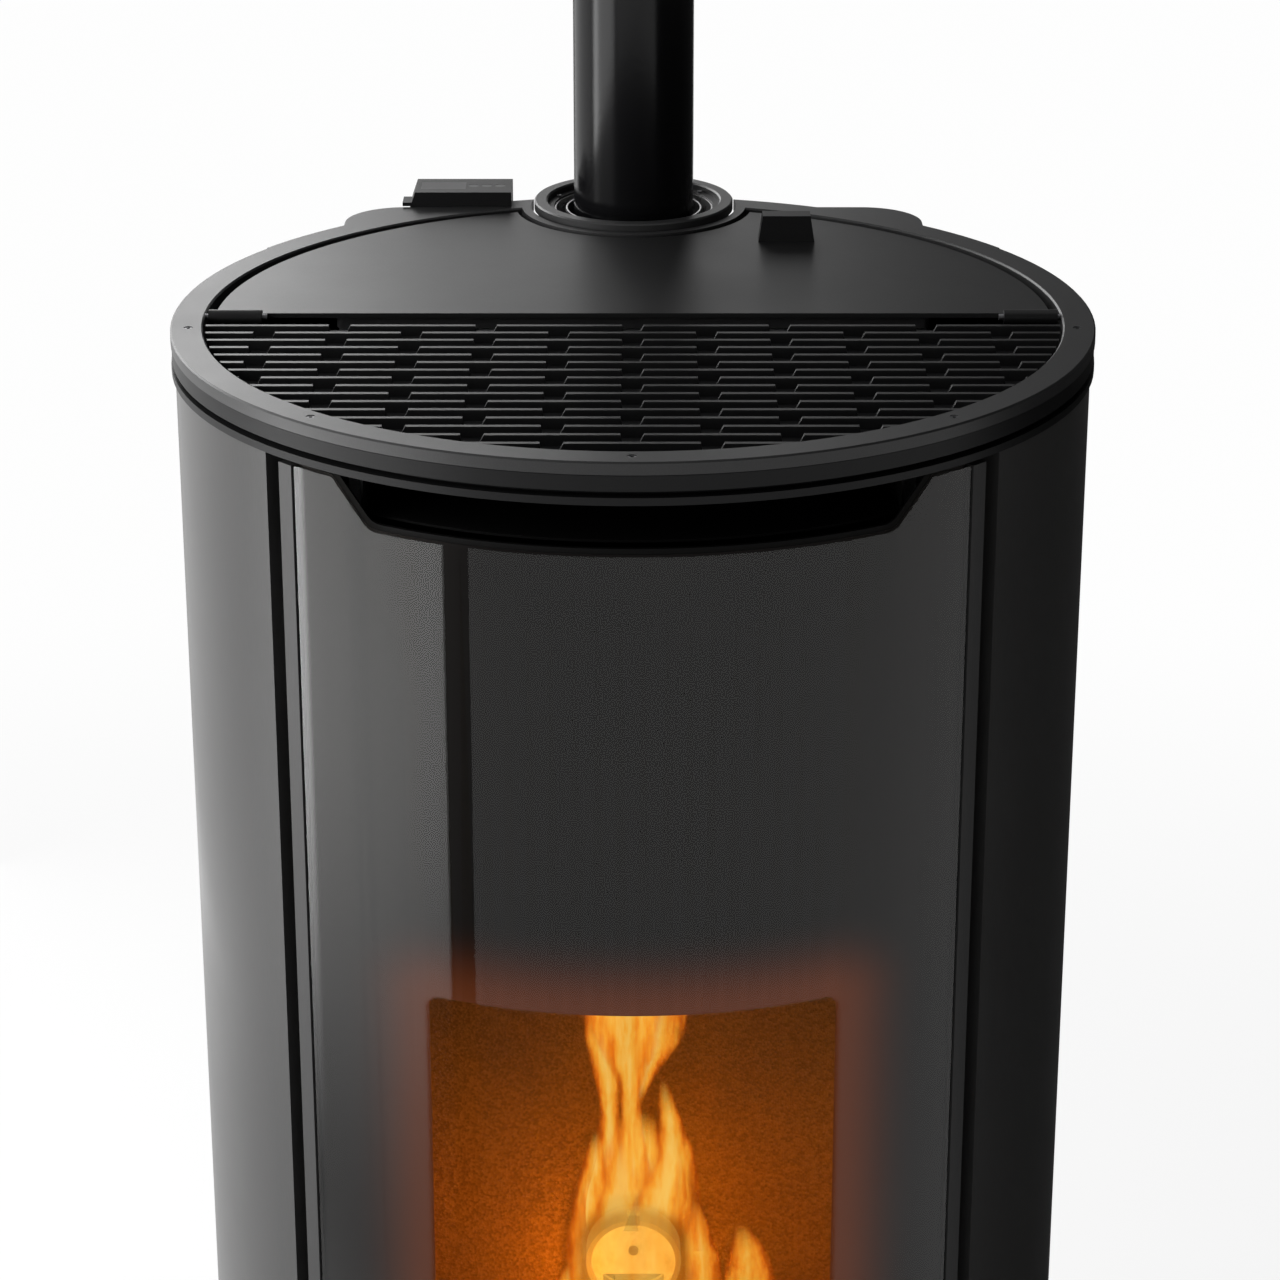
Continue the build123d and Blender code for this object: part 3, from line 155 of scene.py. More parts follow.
class Graph:
    """The node tree of one material, lamp or world."""

    def __init__(self, owner: bpy.types.ID) -> None:
        """Empties the owner's node tree and keeps it.

        Args:
            owner: the material, lamp or world.
        """
        owner.use_nodes = True
        self.owner = owner
        self.tree = owner.node_tree
        self.tree.nodes.clear()

    def add(self, kind: str, settings: dict | None = None, inputs: dict | None = None,
            output: "int | str" = 0) -> Field | None:
        """Adds one node.

        Args:
            kind: the node's type, without its ShaderNode prefix.
            settings: the node's own properties, set first; "stops" fills a colour ramp.
            inputs: values or links, by the socket's name or number.
            output: the output to return.

        Returns:
            The chosen output, or None for a node without outputs.
        """
        node = self.tree.nodes.new("ShaderNode" + kind)
        for name, value in (settings or {}).items():
            if name == "stops":
                self._fill_ramp(node.color_ramp, value)
            else:
                setattr(node, name, value)
        for key, value in (inputs or {}).items():
            if isinstance(value, Field):
                self.tree.links.new(value.socket, node.inputs[key])
            else:
                node.inputs[key].default_value = value
        return Field(self, node.outputs[output]) if len(node.outputs) else None

    @staticmethod
    def _fill_ramp(ramp: bpy.types.ColorRamp, stops: list[tuple[float, Colour]]) -> None:
        """Gives a colour ramp its stops.

        Args:
            ramp: the ramp to fill.
            stops: places from 0 to 1 with their colours, in order.
        """
        while len(ramp.elements) < len(stops):
            ramp.elements.new(1.0)
        for element, (place, colour) in zip(ramp.elements, stops):
            element.position = place
            element.color = opaque(colour)

    def place(self, stretch: Triple = UNSTRETCHED) -> Field:
        """Object coordinates in metres, stretched along each axis."""
        coordinates = self.add("TexCoord", output="Object")
        return self.add("VectorMath", {"operation": "MULTIPLY"}, {0: coordinates, 1: stretch})

    def axis(self, name: str) -> Field:
        """One object coordinate, X, Y or Z, in metres."""
        return self.add("SeparateXYZ", None, {0: self.add("TexCoord", output="Object")}, name)

    def noise(self, grain: Grain) -> Field:
        """Adds a noise.

        Args:
            grain: its scale, octaves and stretch.

        Returns:
            Its value, from 0 to 1.
        """
        inputs = {"Vector": self.place(grain.stretch), "Scale": grain.scale,
                  "Detail": grain.detail, "Roughness": grain.roughness}
        return self.add("TexNoise", None, inputs, "Fac")

    def cells(self, scale: float, output: str = "Distance") -> Field:
        """Voronoi cells, with their scale in cells per metre."""
        return self.add("TexVoronoi", None, {"Vector": self.place(), "Scale": scale}, output)

    def cell_tone(self, scale: float) -> Field:
        """One value from 0 to 1 for each Voronoi cell."""
        return self.add("SeparateColor", None, {0: self.cells(scale, "Color")})

    def ramp(self, value: Field, *stops: tuple[float, Colour]) -> Field:
        """Colour ramp over a value."""
        return self.add("ValToRGB", {"stops": list(stops)}, {"Fac": value}, "Color")

    def mix(self, share: Term, first: Field | Colour, second: Field | Colour) -> Field:
        """Mixes two colours.

        Args:
            share: share of the second colour, from 0 to 1.
            first: the first colour.
            second: the second colour.

        Returns:
            The colour between them.
        """
        ends = [end if isinstance(end, Field) else opaque(end) for end in (first, second)]
        inputs = {0: share, MIX_FIRST: ends[0], MIX_SECOND: ends[1]}
        return self.add("Mix", {"data_type": "RGBA"}, inputs, MIX_RESULT)

    def span(self, value: Field, start: float, end: float,
             low: float = 0.0, high: float = 1.0) -> Field:
        """Smooth step between two values.

        Args:
            value: the value that is followed.
            start: where the step begins.
            end: where it ends.
            low: the level before it.
            high: the level after it.

        Returns:
            The level at the value.
        """
        settings = {"interpolation_type": "SMOOTHSTEP", "clamp": True}
        inputs = {"Value": value, "From Min": start, "From Max": end, "To Min": low, "To Max": high}
        return self.add("MapRange", settings, inputs)

    def outside(self, window: Window) -> Field:
        """Distance from the window's edge in the front view.

        Args:
            window: the window.

        Returns:
            The distance in metres, below nought inside the window.
        """
        low, high = window.z_span
        corner = window.corner
        middle, half_height = (low + high) / 2, (high - low) / 2
        side = (self.axis("X").sized() - (window.half_width - corner)).largest(0.0)
        rise = ((self.axis("Z") - middle).sized() - (half_height - corner)).largest(0.0)
        return side.reach(rise) - corner

    def bump(self, height: Field, depth: float) -> Field:
        """Normal of a relief whose depth is in metres."""
        inputs = {"Height": height, "Distance": depth, "Strength": 1.0}
        return self.add("Bump", None, inputs, "Normal")

    def surface(self, inputs: dict) -> None:
        """Ends the graph in one Principled surface."""
        self.finish(self.add("BsdfPrincipled", None, inputs))

    def finish(self, shader: Field) -> None:
        """Links a shader to the material's output."""
        self.add("OutputMaterial", None, {"Surface": shader})


def shade(colour: Colour, level: float) -> Colour:
    """A colour made lighter or darker."""
    return tuple(min(1.0, part * level) for part in colour)


def opaque(colour: Colour) -> tuple[float, float, float, float]:
    """A colour with full alpha, as a colour socket takes it."""
    return (*colour, 1.0)


# Finishes


@dataclass(frozen=True)
class Finish:
    """A surface finish that makes its own material once."""

    name: str

    def material(self) -> bpy.types.Material:
        """The finish's material, made at its first use."""
        if self.name not in MADE:
            MADE[self.name] = bpy.data.materials.new(self.name)
            self.paint(Graph(MADE[self.name]))
        return MADE[self.name]

    def paint(self, graph: Graph) -> None:
        """Builds the finish in an empty graph."""
        raise NotImplementedError


@dataclass(frozen=True)
class Paint(Finish):
    """Sprayed or cast metal under a dark coat.

    Grain is in features per metre and its depth in metres. Streak stretches the
    grain along Y or Z where the sheet was brushed before it was coated.
    """

    colour: Colour
    roughness: float
    specular: float
    grain: float
    depth: float = 0.00004
    mottle: float = 0.12
    streak: Triple = UNSTRETCHED
    patches: Grain = Grain(9.0, 4.0, 0.6)
    patch_gloss: float = 0.10
    grain_gloss: float = 0.05

    def paint(self, graph: Graph) -> None:
        """Mottled colour, handled patches in the gloss, and a fine relief.

        Args:
            graph: the material's empty graph.
        """
        broad = graph.noise(self.patches)
        fine = graph.noise(Grain(self.grain, 2.0, 0.6, self.streak))
        low, high = shade(self.colour, 1 - self.mottle), shade(self.colour, 1 + self.mottle)
        speck = graph.mix(graph.span(fine, 0.35, 0.65), low, high)
        gloss = broad.swing(self.patch_gloss)
        graph.surface({"Base Color": graph.mix(broad * 0.5, speck, high),
                       "Roughness": self.roughness + gloss + fine.swing(self.grain_gloss),
                       "Normal": graph.bump(fine, self.depth),
                       "Specular IOR Level": self.specular})


@dataclass(frozen=True)
class Enamel(Finish):
    """Smooth gloss enamel with a faint orange peel."""

    colour: Colour
    roughness: float
    specular: float
    peel: Grain = Grain(260.0, 2.0, 0.5)
    peel_depth: float = 0.00003
    wipe: Grain = Grain(14.0, 4.0, 0.6, (1.0, 1.0, 0.25))
    wipe_gloss: float = 0.12

    def paint(self, graph: Graph) -> None:
        """Deep colour under an even gloss that waves slightly.

        Args:
            graph: the material's empty graph.
        """
        wipe = graph.noise(self.wipe)
        colour = graph.mix(wipe, shade(self.colour, 0.8), shade(self.colour, 1.3))
        rough = self.roughness + graph.span(wipe, 0.45, 0.75) * self.wipe_gloss
        graph.surface({"Base Color": colour, "Roughness": rough,
                       "Normal": graph.bump(graph.noise(self.peel), self.peel_depth),
                       "Specular IOR Level": self.specular})


@dataclass(frozen=True)
class Sheet(Finish):
    """Bare sheet steel with zinc spangle, whose cells are counted per metre."""

    colour: Colour
    roughness: float
    cell: float
    soot: float
    soot_colour: Colour = (0.035, 0.03, 0.026)
    clouds: Grain = Grain(16.0, 5.0, 0.65)
    brushing: Grain = Grain(700.0, 2.0, 0.7, (1.0, 1.0, 0.08))
    brush_depth: float = 0.00002
    brush_gloss: float = 0.14
    crystal_gloss: float = 0.12
    soot_gloss: float = 0.3

    def paint(self, graph: Graph) -> None:
        """Metal whose tone and gloss change from crystal to crystal.

        Args:
            graph: the material's empty graph.
        """
        crystal = graph.cell_tone(self.cell)
        scratch = graph.noise(self.brushing)
        bare = graph.mix(crystal, shade(self.colour, 0.86), shade(self.colour, 1.1))
        smut = graph.span(graph.noise(self.clouds), 0.42, 0.7) * self.soot
        rough = self.roughness + crystal.swing(self.crystal_gloss) + scratch.swing(self.brush_gloss)
        graph.surface({"Base Color": graph.mix(smut, bare, self.soot_colour),
                       "Metallic": 1.0 - smut, "Roughness": rough + smut * self.soot_gloss,
                       "Normal": graph.bump(scratch, self.brush_depth)})


@dataclass(frozen=True)
class HotIron(Finish):
    """Iron that has been red hot: scale, brown bloom and blue patches."""

    colour: Colour
    roughness: float = 0.62
    metallic: float = 0.6
    blue: Colour = (0.096, 0.104, 0.128)
    bloom: Triple = (1.7, 1.2, 0.8)
    patches: Grain = Grain(22.0, 5.0, 0.6)
    pits: Grain = Grain(420.0, 4.0, 0.7)
    pit_depth: float = 0.0004
    pit_gloss: float = 0.3

    def paint(self, graph: Graph) -> None:
        """Dark scale with warm and cold tints, over a pitted relief.

        Args:
            graph: the material's empty graph.
        """
        pit = graph.noise(self.pits)
        warm = tuple(part * level for part, level in zip(self.colour, self.bloom))
        tint = graph.ramp(graph.noise(self.patches), (0.3, shade(self.colour, 0.7)),
                          (0.48, self.colour), (0.6, warm), (0.75, self.blue))
        graph.surface({"Base Color": tint, "Metallic": self.metallic,
                       "Roughness": self.roughness + pit.swing(self.pit_gloss),
                       "Normal": graph.bump(pit, self.pit_depth)})


@dataclass(frozen=True)
class MineralBoard(Finish):
    """Pressed flakes of expanded mica, sooty towards the top of the firebox."""

    colour: Colour
    soot_from: float
    soot_to: float
    soot_colour: Colour = (0.05, 0.035, 0.025)
    soot_share: float = 0.8
    flakes: float = 620.0
    grit: Grain = Grain(1100.0, 4.0, 0.7)
    smoke: Grain = Grain(12.0, 5.0, 0.6)
    smoke_rise: float = 0.16
    relief: float = 0.0008

    def paint(self, graph: Graph) -> None:
        """Mixed flakes with glints, dark joints and a smoke shadow that follows height.

        Args:
            graph: the material's empty graph.
        """
        tone = graph.cell_tone(self.flakes)
        grit = graph.noise(self.grit)
        base = graph.mix(tone, shade(self.colour, 0.72), shade(self.colour, 1.15))
        base = graph.mix(graph.span(grit, 0.5, 0.75) * 0.5, base, shade(self.colour, 0.4))
        height = graph.axis("Z") + graph.noise(self.smoke).swing(self.smoke_rise)
        smoke = graph.span(height, self.soot_from, self.soot_to, 0.0, self.soot_share)
        rise = graph.cells(self.flakes) * 0.6 + grit * 0.6
        graph.surface({"Base Color": graph.mix(smoke, base, self.soot_colour),
                       "Roughness": 0.9 - tone * 0.2,
                       "Normal": graph.bump(rise, self.relief), "Specular IOR Level": 0.25})


@dataclass(frozen=True)
class Pane(Finish):
    """Clear curved glass that mirrors on its outer face, and less in its clear window.

    Sizes are in metres. The index is the glass's refractive index.
    """

    outer_radius: float
    thickness: float
    axis_y: float
    window: Window
    index: float = 1.34
    tint: Colour = (0.97, 0.95, 0.92)
    window_gloss: float = 0.06
    edge: float = 0.004
    split: float = 0.0005
    haze: Grain = Grain(5.0, 4.0, 0.6, (1.0, 1.0, 0.5))

    def paint(self, graph: Graph) -> None:
        """Glass whose gloss follows the angle, on the outside of the curve.

        Args:
            graph: the material's empty graph.
        """
        across, along = graph.axis("X"), graph.axis("Y") - self.axis_y
        middle = self.outer_radius - self.thickness / 2
        outer = graph.span(across.reach(along), middle - self.split, middle + self.split)
        coated = graph.span(graph.outside(self.window), 0.0, self.edge, self.window_gloss, 1.0)
        rough = graph.span(graph.noise(self.haze), 0.4, 0.8, 0.02, 0.05)
        clear = graph.add("BsdfTransparent", None, {"Color": opaque(self.tint)})
        mirror = graph.add("BsdfPrincipled", None, {"Base Color": opaque(WHITE), "Metallic": 1.0,
                                                   "Roughness": rough})
        share = graph.add("Fresnel", None, {"IOR": self.index}) * outer * coated
        graph.finish(graph.add("MixShader", None, {0: share, 1: clear, 2: mirror}))


@dataclass(frozen=True)
class DarkPrint(Finish):
    """Dark ceramic print behind the glass, with a painted glow of firelight round the window."""

    colour: Colour
    window: Window
    # How far the painted glow of firelight reaches out from the window, in metres.
    reach: float = 0.062
    # Colour of the painted glow of firelight.
    painted_glow_colour: Colour = (0.085, 0.017, 0.001)
    cloud: Grain = Grain(3.0, 3.0, 0.5)
    grain: Grain = Grain(900.0, 2.0, 0.5)

    def paint(self, graph: Graph) -> None:
        """Faintly clouded coat with a painted glow, an emission standing in for the fire's light,
        that fades away from the window.

        Args:
            graph: the material's empty graph.
        """
        cloud = graph.noise(self.cloud)
        colour = graph.mix(cloud, shade(self.colour, 0.75), shade(self.colour, 1.25))
        # Painted glow: emission round the window that stands in for firelight bleeding onto the
        # print.
        glow = graph.span(graph.outside(self.window), 0.0, self.reach, 1.0, 0.0) ** 2.0
        graph.surface({"Base Color": colour, "Specular IOR Level": 0.1,
                       "Roughness": 0.34 + graph.noise(self.grain) * 0.06,
                       "Emission Color": graph.mix(glow, BLACK, self.painted_glow_colour),
                       "Emission Strength": 1.0})


@dataclass(frozen=True)
class Rope(Finish):
    """Braided glass-fibre rope, with its strands counted per metre."""

    colour: Colour
    strands: float = 60.0
    wander: float = 1.5
    fuzz: Grain = Grain(1500.0, 3.0, 0.7)
    relief: float = 0.0008

    def paint(self, graph: Graph) -> None:
        """Two crossing sets of strands with fuzz between them.

        Args:
            graph: the material's empty graph.
        """
        strands = self._strands(graph, 1.0).largest(self._strands(graph, -1.0))
        fuzz = graph.noise(self.fuzz)
        graph.surface({"Base Color": graph.mix(strands, shade(self.colour, 0.35), self.colour),
                       "Roughness": 0.85 + fuzz * 0.1,
                       "Normal": graph.bump(strands + fuzz * 0.3, self.relief)})

    def _strands(self, graph: Graph, lean: float) -> Field:
        """One set of slanted strands.

        Args:
            graph: the material's graph.
            lean: 1 for one way, -1 for the other.

        Returns:
            Height of the strands, from 0 to 1.
        """
        settings = {"wave_type": "BANDS", "bands_direction": "DIAGONAL"}
        inputs = {"Vector": graph.place((lean, 1.0, 1.0)), "Scale": self.strands,
                  "Distortion": self.wander}
        return graph.add("TexWave", settings, inputs, "Fac")


@dataclass(frozen=True)
class Moulded(Finish):
    """Moulded plastic or rubber with an even spark-eroded grain."""

    colour: Colour
    roughness: float
    grain: float = 1600.0
    depth: float = 0.00006
    scuffs: Grain = Grain(60.0, 5.0, 0.7)
    grain_gloss: float = 0.15

    def paint(self, graph: Graph) -> None:
        """Even colour with grain and faint scuffs.

        Args:
            graph: the material's empty graph.
        """
        grain = graph.noise(Grain(self.grain, 2.0, 0.6))
        scuff = graph.span(graph.noise(self.scuffs), 0.58, 0.72)
        graph.surface({"Base Color": graph.mix(scuff * 0.4, self.colour, shade(self.colour, 1.9)),
                       "Roughness": self.roughness + grain.swing(self.grain_gloss),
                       "Normal": graph.bump(grain, self.depth)})


@dataclass(frozen=True)
class Circuit(Finish):
    """Lacquered circuit board with copper tracks under the lacquer."""

    colour: Colour
    track_scale: float = 60.0
    track_gap: float = 0.06
    track_depth: float = 0.00008
    dots: float = 260.0
    dot_size: float = 0.22
    solder: Colour = (0.5, 0.5, 0.52)

    def paint(self, graph: Graph) -> None:
        """Tracks as a brick pattern in a lighter green, with bright solder dots.

        Args:
            graph: the material's empty graph.
        """
        inputs = {"Vector": graph.place((0.0, 1.0, 1.0)), "Scale": self.track_scale,
                  "Mortar Size": self.track_gap}
        tracks = graph.add("TexBrick", None, inputs, "Fac")
        solder = graph.span(graph.cells(self.dots), 0.0, self.dot_size, 1.0, 0.0)
        green = graph.mix(tracks, self.colour, shade(self.colour, 2.2))
        graph.surface({"Base Color": graph.mix(solder, green, self.solder), "Metallic": solder,
                       "Roughness": 0.35 + tracks * 0.1,
                       "Normal": graph.bump(tracks, self.track_depth)})


@dataclass(frozen=True)
class Flame(Finish):
    """Burning gas: bright and pale inside, orange and thin at its border.

    Clear is a place in metres that the flame leaves nearly open, with its radius.
    """

    heat: float
    density: float
    clear: Vector
    clear_radius: float
    wave: Grain = Grain(34.0, 3.0, 0.6, (1.0, 1.0, 0.45))
    wisp: Grain = Grain(75.0, 4.0, 0.65, (1.0, 1.0, 0.3))
    streak: Grain = Grain(210.0, 3.0, 0.6, (1.0, 1.0, 0.09))
    wave_swing: float = 0.75
    wisp_swing: float = 0.85
    streak_swing: float = 0.8
    clear_share: float = 0.2
    clear_rim: Span = (1.02, 1.35)

    def paint(self, graph: Graph) -> None:
        """Colour and opacity from the flame's own along and across coordinates.

        Args:
            graph: the material's empty graph.
        """
        across, along = self._stored(graph, "across"), self._stored(graph, "along")
        inner = 1.0 - (across + graph.noise(self.wave).swing(self.wave_swing)).sized()
        body = inner + graph.noise(self.wisp).swing(self.wisp_swing)
        streak = graph.noise(self.streak).swing(self.streak_swing)
        colour = graph.ramp(graph.span(body * self.heat + streak, 0.0, 1.0),
                            (0.0, (0.55, 0.08, 0.003)), (0.25, (0.84, 0.2, 0.01)),
                            (0.5, (0.96, 0.34, 0.026)), (0.75, (0.99, 0.46, 0.05)),
                            (1.0, (1.0, 0.61, 0.13)))
        ends = graph.span(along, 0.0, 0.15) * graph.span(along, 0.8, 1.0, 1.0, 0.0)
        sides = graph.span(across.sized(), 0.75, 1.0, 1.0, 0.0)
        fade = graph.span(body, 0.02, 0.6) * ends * sides * self._thinned(graph)
        graph.surface({"Base Color": opaque(BLACK), "Roughness": 1.0, "Specular IOR Level": 0.0,
                       "Emission Color": colour, "Emission Strength": 1.0,
                       "Alpha": fade * self.density})

    def _stored(self, graph: Graph, name: str) -> Field:
        """A value that the flame's mesh stores at each point."""
        return graph.add("Attribute", {"attribute_name": name}, None, "Fac")

    def _thinned(self, graph: Graph) -> Field:
        """Thins the flame over the clear place and below it.

        Args:
            graph: the material's graph.

        Returns:
            The share of the flame that is left.
        """
        beside, above = graph.axis("X") - self.clear.x, graph.axis("Z") - self.clear.z
        start, end = (self.clear_radius * rim for rim in self.clear_rim)
        return graph.span(beside.reach(above.largest(0.0)), start, end, self.clear_share, 1.0)


@dataclass(frozen=True)
class PaintedFirelightCasting(Finish):
    """Round casting, pale on its face and olive on its rim, with painted firelight: an emission
    that stands in for the fire's light falling on it.

    Centre, radius and rim are in metres.
    """

    centre: Vector
    radius: float
    rim: float = 0.0035
    ash: Grain = Grain(120.0, 4.0, 0.65)
    grit: Grain = Grain(900.0, 2.0, 0.6)
    pale: Colour = (0.95, 0.86, 0.62)
    dull: Colour = (0.7, 0.62, 0.42)
    rim_colour: Colour = (0.42, 0.4, 0.2)
    # Painted firelight on the rim, given as emission.
    rim_painted_firelight: Colour = (0.16, 0.11, 0.025)

    def paint(self, graph: Graph) -> None:
        """Ash in patches over the face, a darker rim, and a painted firelight glow over both.

        Args:
            graph: the material's empty graph.
        """
        beside, above = graph.axis("X") - self.centre.x, graph.axis("Z") - self.centre.z
        rim = graph.span(beside.reach(above), self.radius - self.rim * 1.1,
                         self.radius - self.rim * 0.9)
        ash, grit = graph.noise(self.ash), graph.noise(self.grit)
        face = graph.mix(ash, self.pale, self.dull)
        # Painted firelight: emission that stands in for the fire's light on the casting, dimmer on
        # the rim.
        glow = graph.ramp(ash, (0.3, (0.72, 0.5, 0.1)), (0.7, (0.6, 0.32, 0.04)))
        graph.surface({"Base Color": graph.mix(rim, face, self.rim_colour),
                       "Roughness": 0.62 + grit.swing(0.2),
                       "Normal": graph.bump(grit, 0.0001), "Specular IOR Level": 0.3,
                       "Emission Color": graph.mix(rim, glow, self.rim_painted_firelight),
                       "Emission Strength": 1.0})


@dataclass(frozen=True)
class Ember(Finish):
    """Wood pellets that glow in their cracks and turn to ash on top."""

    low_z: float
    high_z: float
    cracks: Grain = Grain(160.0, 4.0, 0.7)
    crack_depth: float = 0.0008
    ash: Grain = Grain(90.0, 4.0, 0.6)
    charcoal: Colour = (0.03, 0.022, 0.018)
    ash_colour: Colour = (0.35, 0.31, 0.27)

    def paint(self, graph: Graph) -> None:
        """Charcoal, ash and a glow that grows towards the heap's top.

        Args:
            graph: the material's empty graph.
        """
        crack = graph.noise(self.cracks)
        ash = graph.span(graph.noise(self.ash), 0.5, 0.7)
        height = graph.span(graph.axis("Z"), self.low_z, self.high_z)
        glow = graph.ramp(graph.span(crack, 0.3, 0.7) * height, (0.0, (0.12, 0.006, 0.0)),
                          (0.5, (0.9, 0.16, 0.01)), (1.0, (1.0, 0.6, 0.15)))
        graph.surface({"Base Color": graph.mix(ash, self.charcoal, self.ash_colour),
                       "Roughness": 0.9, "Normal": graph.bump(crack, self.crack_depth),
                       "Emission Color": glow, "Emission Strength": 1.6})


BRUSHED_BACK: Triple = (1.0, 0.12, 1.0)
BRUSHED_UP: Triple = (1.0, 1.0, 0.08)

CAST_BLACK = Paint("cast_black", (0.024, 0.024, 0.0245), roughness=0.42, specular=0.38,
                   grain=1300.0)
GRILLE_BLACK = Paint("grille_black", (0.011, 0.011, 0.0115), roughness=0.42, specular=0.32,
                     grain=1300.0)
STEEL_BLACK = Paint("steel_black", (0.008, 0.008, 0.0083), roughness=0.45, specular=0.16,
                    grain=1100.0)
HOLLOW_BLACK = Paint("hollow_black", (0.004, 0.004, 0.004), roughness=0.6, specular=0.1,
                     grain=900.0)
LID_BLACK = Paint("lid_black", (0.011, 0.011, 0.0113), roughness=0.4, specular=0.26,
                  grain=1500.0, depth=0.00003, mottle=0.08, streak=BRUSHED_BACK)
PANEL_GREY = Paint("satin_panel_paint", (0.041, 0.0402, 0.0398), roughness=0.33, specular=0.3,
                   grain=1400.0, depth=0.00003, mottle=0.08, streak=BRUSHED_UP)
TRIM_GREY = Paint("satin_trim_paint", (0.042, 0.0415, 0.0415), roughness=0.4, specular=0.2,
                  grain=1400.0, depth=0.00003, mottle=0.08, streak=BRUSHED_UP)
FLUE_BLACK = Enamel("flue_black", (0.004, 0.004, 0.0045), roughness=0.2, specular=0.25)
LENS = Enamel("display_lens_black", (0.008, 0.008, 0.01), roughness=0.3, specular=0.15)
ZINC = Sheet("zinc_sheet", (0.56, 0.57, 0.58), roughness=0.36, cell=90.0, soot=0.0)
SOOTY_STEEL = Sheet("sooty_steel", (0.5, 0.49, 0.48), roughness=0.42, cell=60.0, soot=0.8)
SLEEVE_STEEL = Sheet("sleeve_steel", (0.6, 0.6, 0.6), roughness=0.3, cell=200.0, soot=0.15)
DRIVE_STEEL = Sheet("turned_steel", (0.52, 0.52, 0.53), roughness=0.3, cell=400.0, soot=0.1)
SCREW_STEEL = Sheet("dark_screw_steel", (0.22, 0.22, 0.23), roughness=0.4, cell=600.0, soot=0.0)
IRON = HotIron("hot_iron", (0.05, 0.046, 0.043))
ROPE = Rope("seal_rope", (0.2, 0.2, 0.19))
PAD_RUBBER = Moulded("pad_rubber", (0.02, 0.02, 0.021), roughness=0.7, grain=900.0, depth=0.00012)
SEAL_RUBBER = Moulded("seal_rubber", (0.03, 0.03, 0.031), roughness=0.6)
BLACK_PLASTIC = Moulded("black_plastic", (0.018, 0.018, 0.019), roughness=0.5)
CIRCUIT = Circuit("circuit_green_lacquer", (0.012, 0.09, 0.035))


def dress(finish: Finish, *nodes: str) -> None:
    """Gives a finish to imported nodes.

    Args:
        finish: the finish.
        nodes: names of the nodes.
    """
    for name in nodes:
        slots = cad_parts[name].data.materials
        slots.clear()
        slots.append(finish.material())
    LOG.info("%s on %s", finish.name, ", ".join(nodes))


def new_object(name: str, data: bpy.types.ID) -> bpy.types.Object:
    """Makes an object and links it to the scene.

    Args:
        name: the object's name.
        data: its mesh, lamp or camera.

    Returns:
        The new object.
    """
    thing = bpy.data.objects.new(name, data)
    bpy.context.scene.collection.objects.link(thing)
    return thing


def new_piece(name: str, mesh: bmesh.types.BMesh, finish: Finish, body: str) -> bpy.types.Object:
    """Makes one object from a finished bmesh and lets it ride on a body.

    Args:
        name: the piece's name.
        mesh: its shape in the frame's metres, used up by the call.
        finish: its finish.
        body: the body it moves with.

    Returns:
        The new object.
    """
    data = bpy.data.meshes.new(name)
    mesh.to_mesh(data)
    mesh.free()
    data.materials.append(finish.material())
    for face in data.polygons:
        face.use_smooth = True
    piece = new_object(name, data)
    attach(piece, body)
    LOG.info("made %s on %s", name, body)
    return piece


def new_backdrop(name: str, corners: list[Triple],
                 material: bpy.types.Material) -> bpy.types.Object:
    """Makes one flat sheet that isn't part of the stove.

    Args:
        name: the sheet's name.
        corners: its four corners in order, in metres.
        material: its material.

    Returns:
        The new object.
    """
    mesh = bpy.data.meshes.new(name)
    mesh.from_pydata(corners, [], [(0, 1, 2, 3)])
    mesh.materials.append(material)
    sheet = new_object(name, mesh)
    return sheet


# Sub-assemblies


@dataclass
class Top:
    """Rim, grille and hopper lid."""

    def build(self) -> None:
        """Dresses the pieces seen from above."""
        dress(CAST_BLACK, "top_ring", "flue_collar")
        dress(GRILLE_BLACK, "top_grille")
        dress(STEEL_BLACK, "mid_ring", "lower_ring", "lid_grip", "hopper_deck")
        dress(LID_BLACK, "hopper_lid")
        dress(SCREW_STEEL, "small_screws", "lid_hinge_pins")
        dress(SEAL_RUBBER, "lid_seal")


@dataclass
class Flue:
    """Smoke pipe with its sleeves, casing and soot cap."""

    def build(self) -> None:
        """Dresses the flue."""
        dress(FLUE_BLACK, "flue_pipe")
        dress(SLEEVE_STEEL, "flue_sleeves")
        dress(SOOTY_STEEL, "flue_riser", "smoke_duct", "cleanout_cap", "heat_exchanger")
        dress(STEEL_BLACK, "flue_jacket")


@dataclass
class Casing:
    """Panels, frame and base."""

    def build(self) -> None:
        """Dresses the casing."""
        dress(PANEL_GREY, "side_panel_left", "side_panel_right", "lower_front_panel",
              "ash_drawer_front")
        dress(STEEL_BLACK, "rear_panel", "base_plate", "plinth_skirt", "frame_posts")
        dress(PAD_RUBBER, "levelling_feet")


@dataclass
class Door:
    """Glazed door. Sizes in metres, with the window's ends set in from the rope seal's."""

    glass_radius: float = 0.2765
    glass_thickness: float = 0.004
    window_half_width: float = 0.118
    window_corner: float = 0.0065
    inset_below: float = 0.02
    inset_above: float = 0.021
    print_colour: Colour = (0.0044, 0.0036, 0.0038)

    def build(self) -> None:
        """Dresses the door and works out where its window is."""
        low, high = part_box("door_glass")
        axis_y = low.y + self.glass_radius
        seal_low, seal_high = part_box("door_gasket")
        ends = (seal_low.z + self.inset_below, seal_high.z - self.inset_above)
        window = Window(self.window_half_width, ends, self.window_corner)
        pane = Pane("curved_glass", self.glass_radius, self.glass_thickness, axis_y, window)
        dress(pane, "door_glass")
        # The print carries a painted glow of firelight round its window.
        dress(DarkPrint("dark_print", self.print_colour, window), "glass_print")
        dress(HOLLOW_BLACK, "door_frame", "air_vent_duct", "door_hinges")
        dress(TRIM_GREY, "door_trims")
        dress(ROPE, "door_gasket")
        LOG.info("glass from %.3f to %.3f m", low.z, high.z)


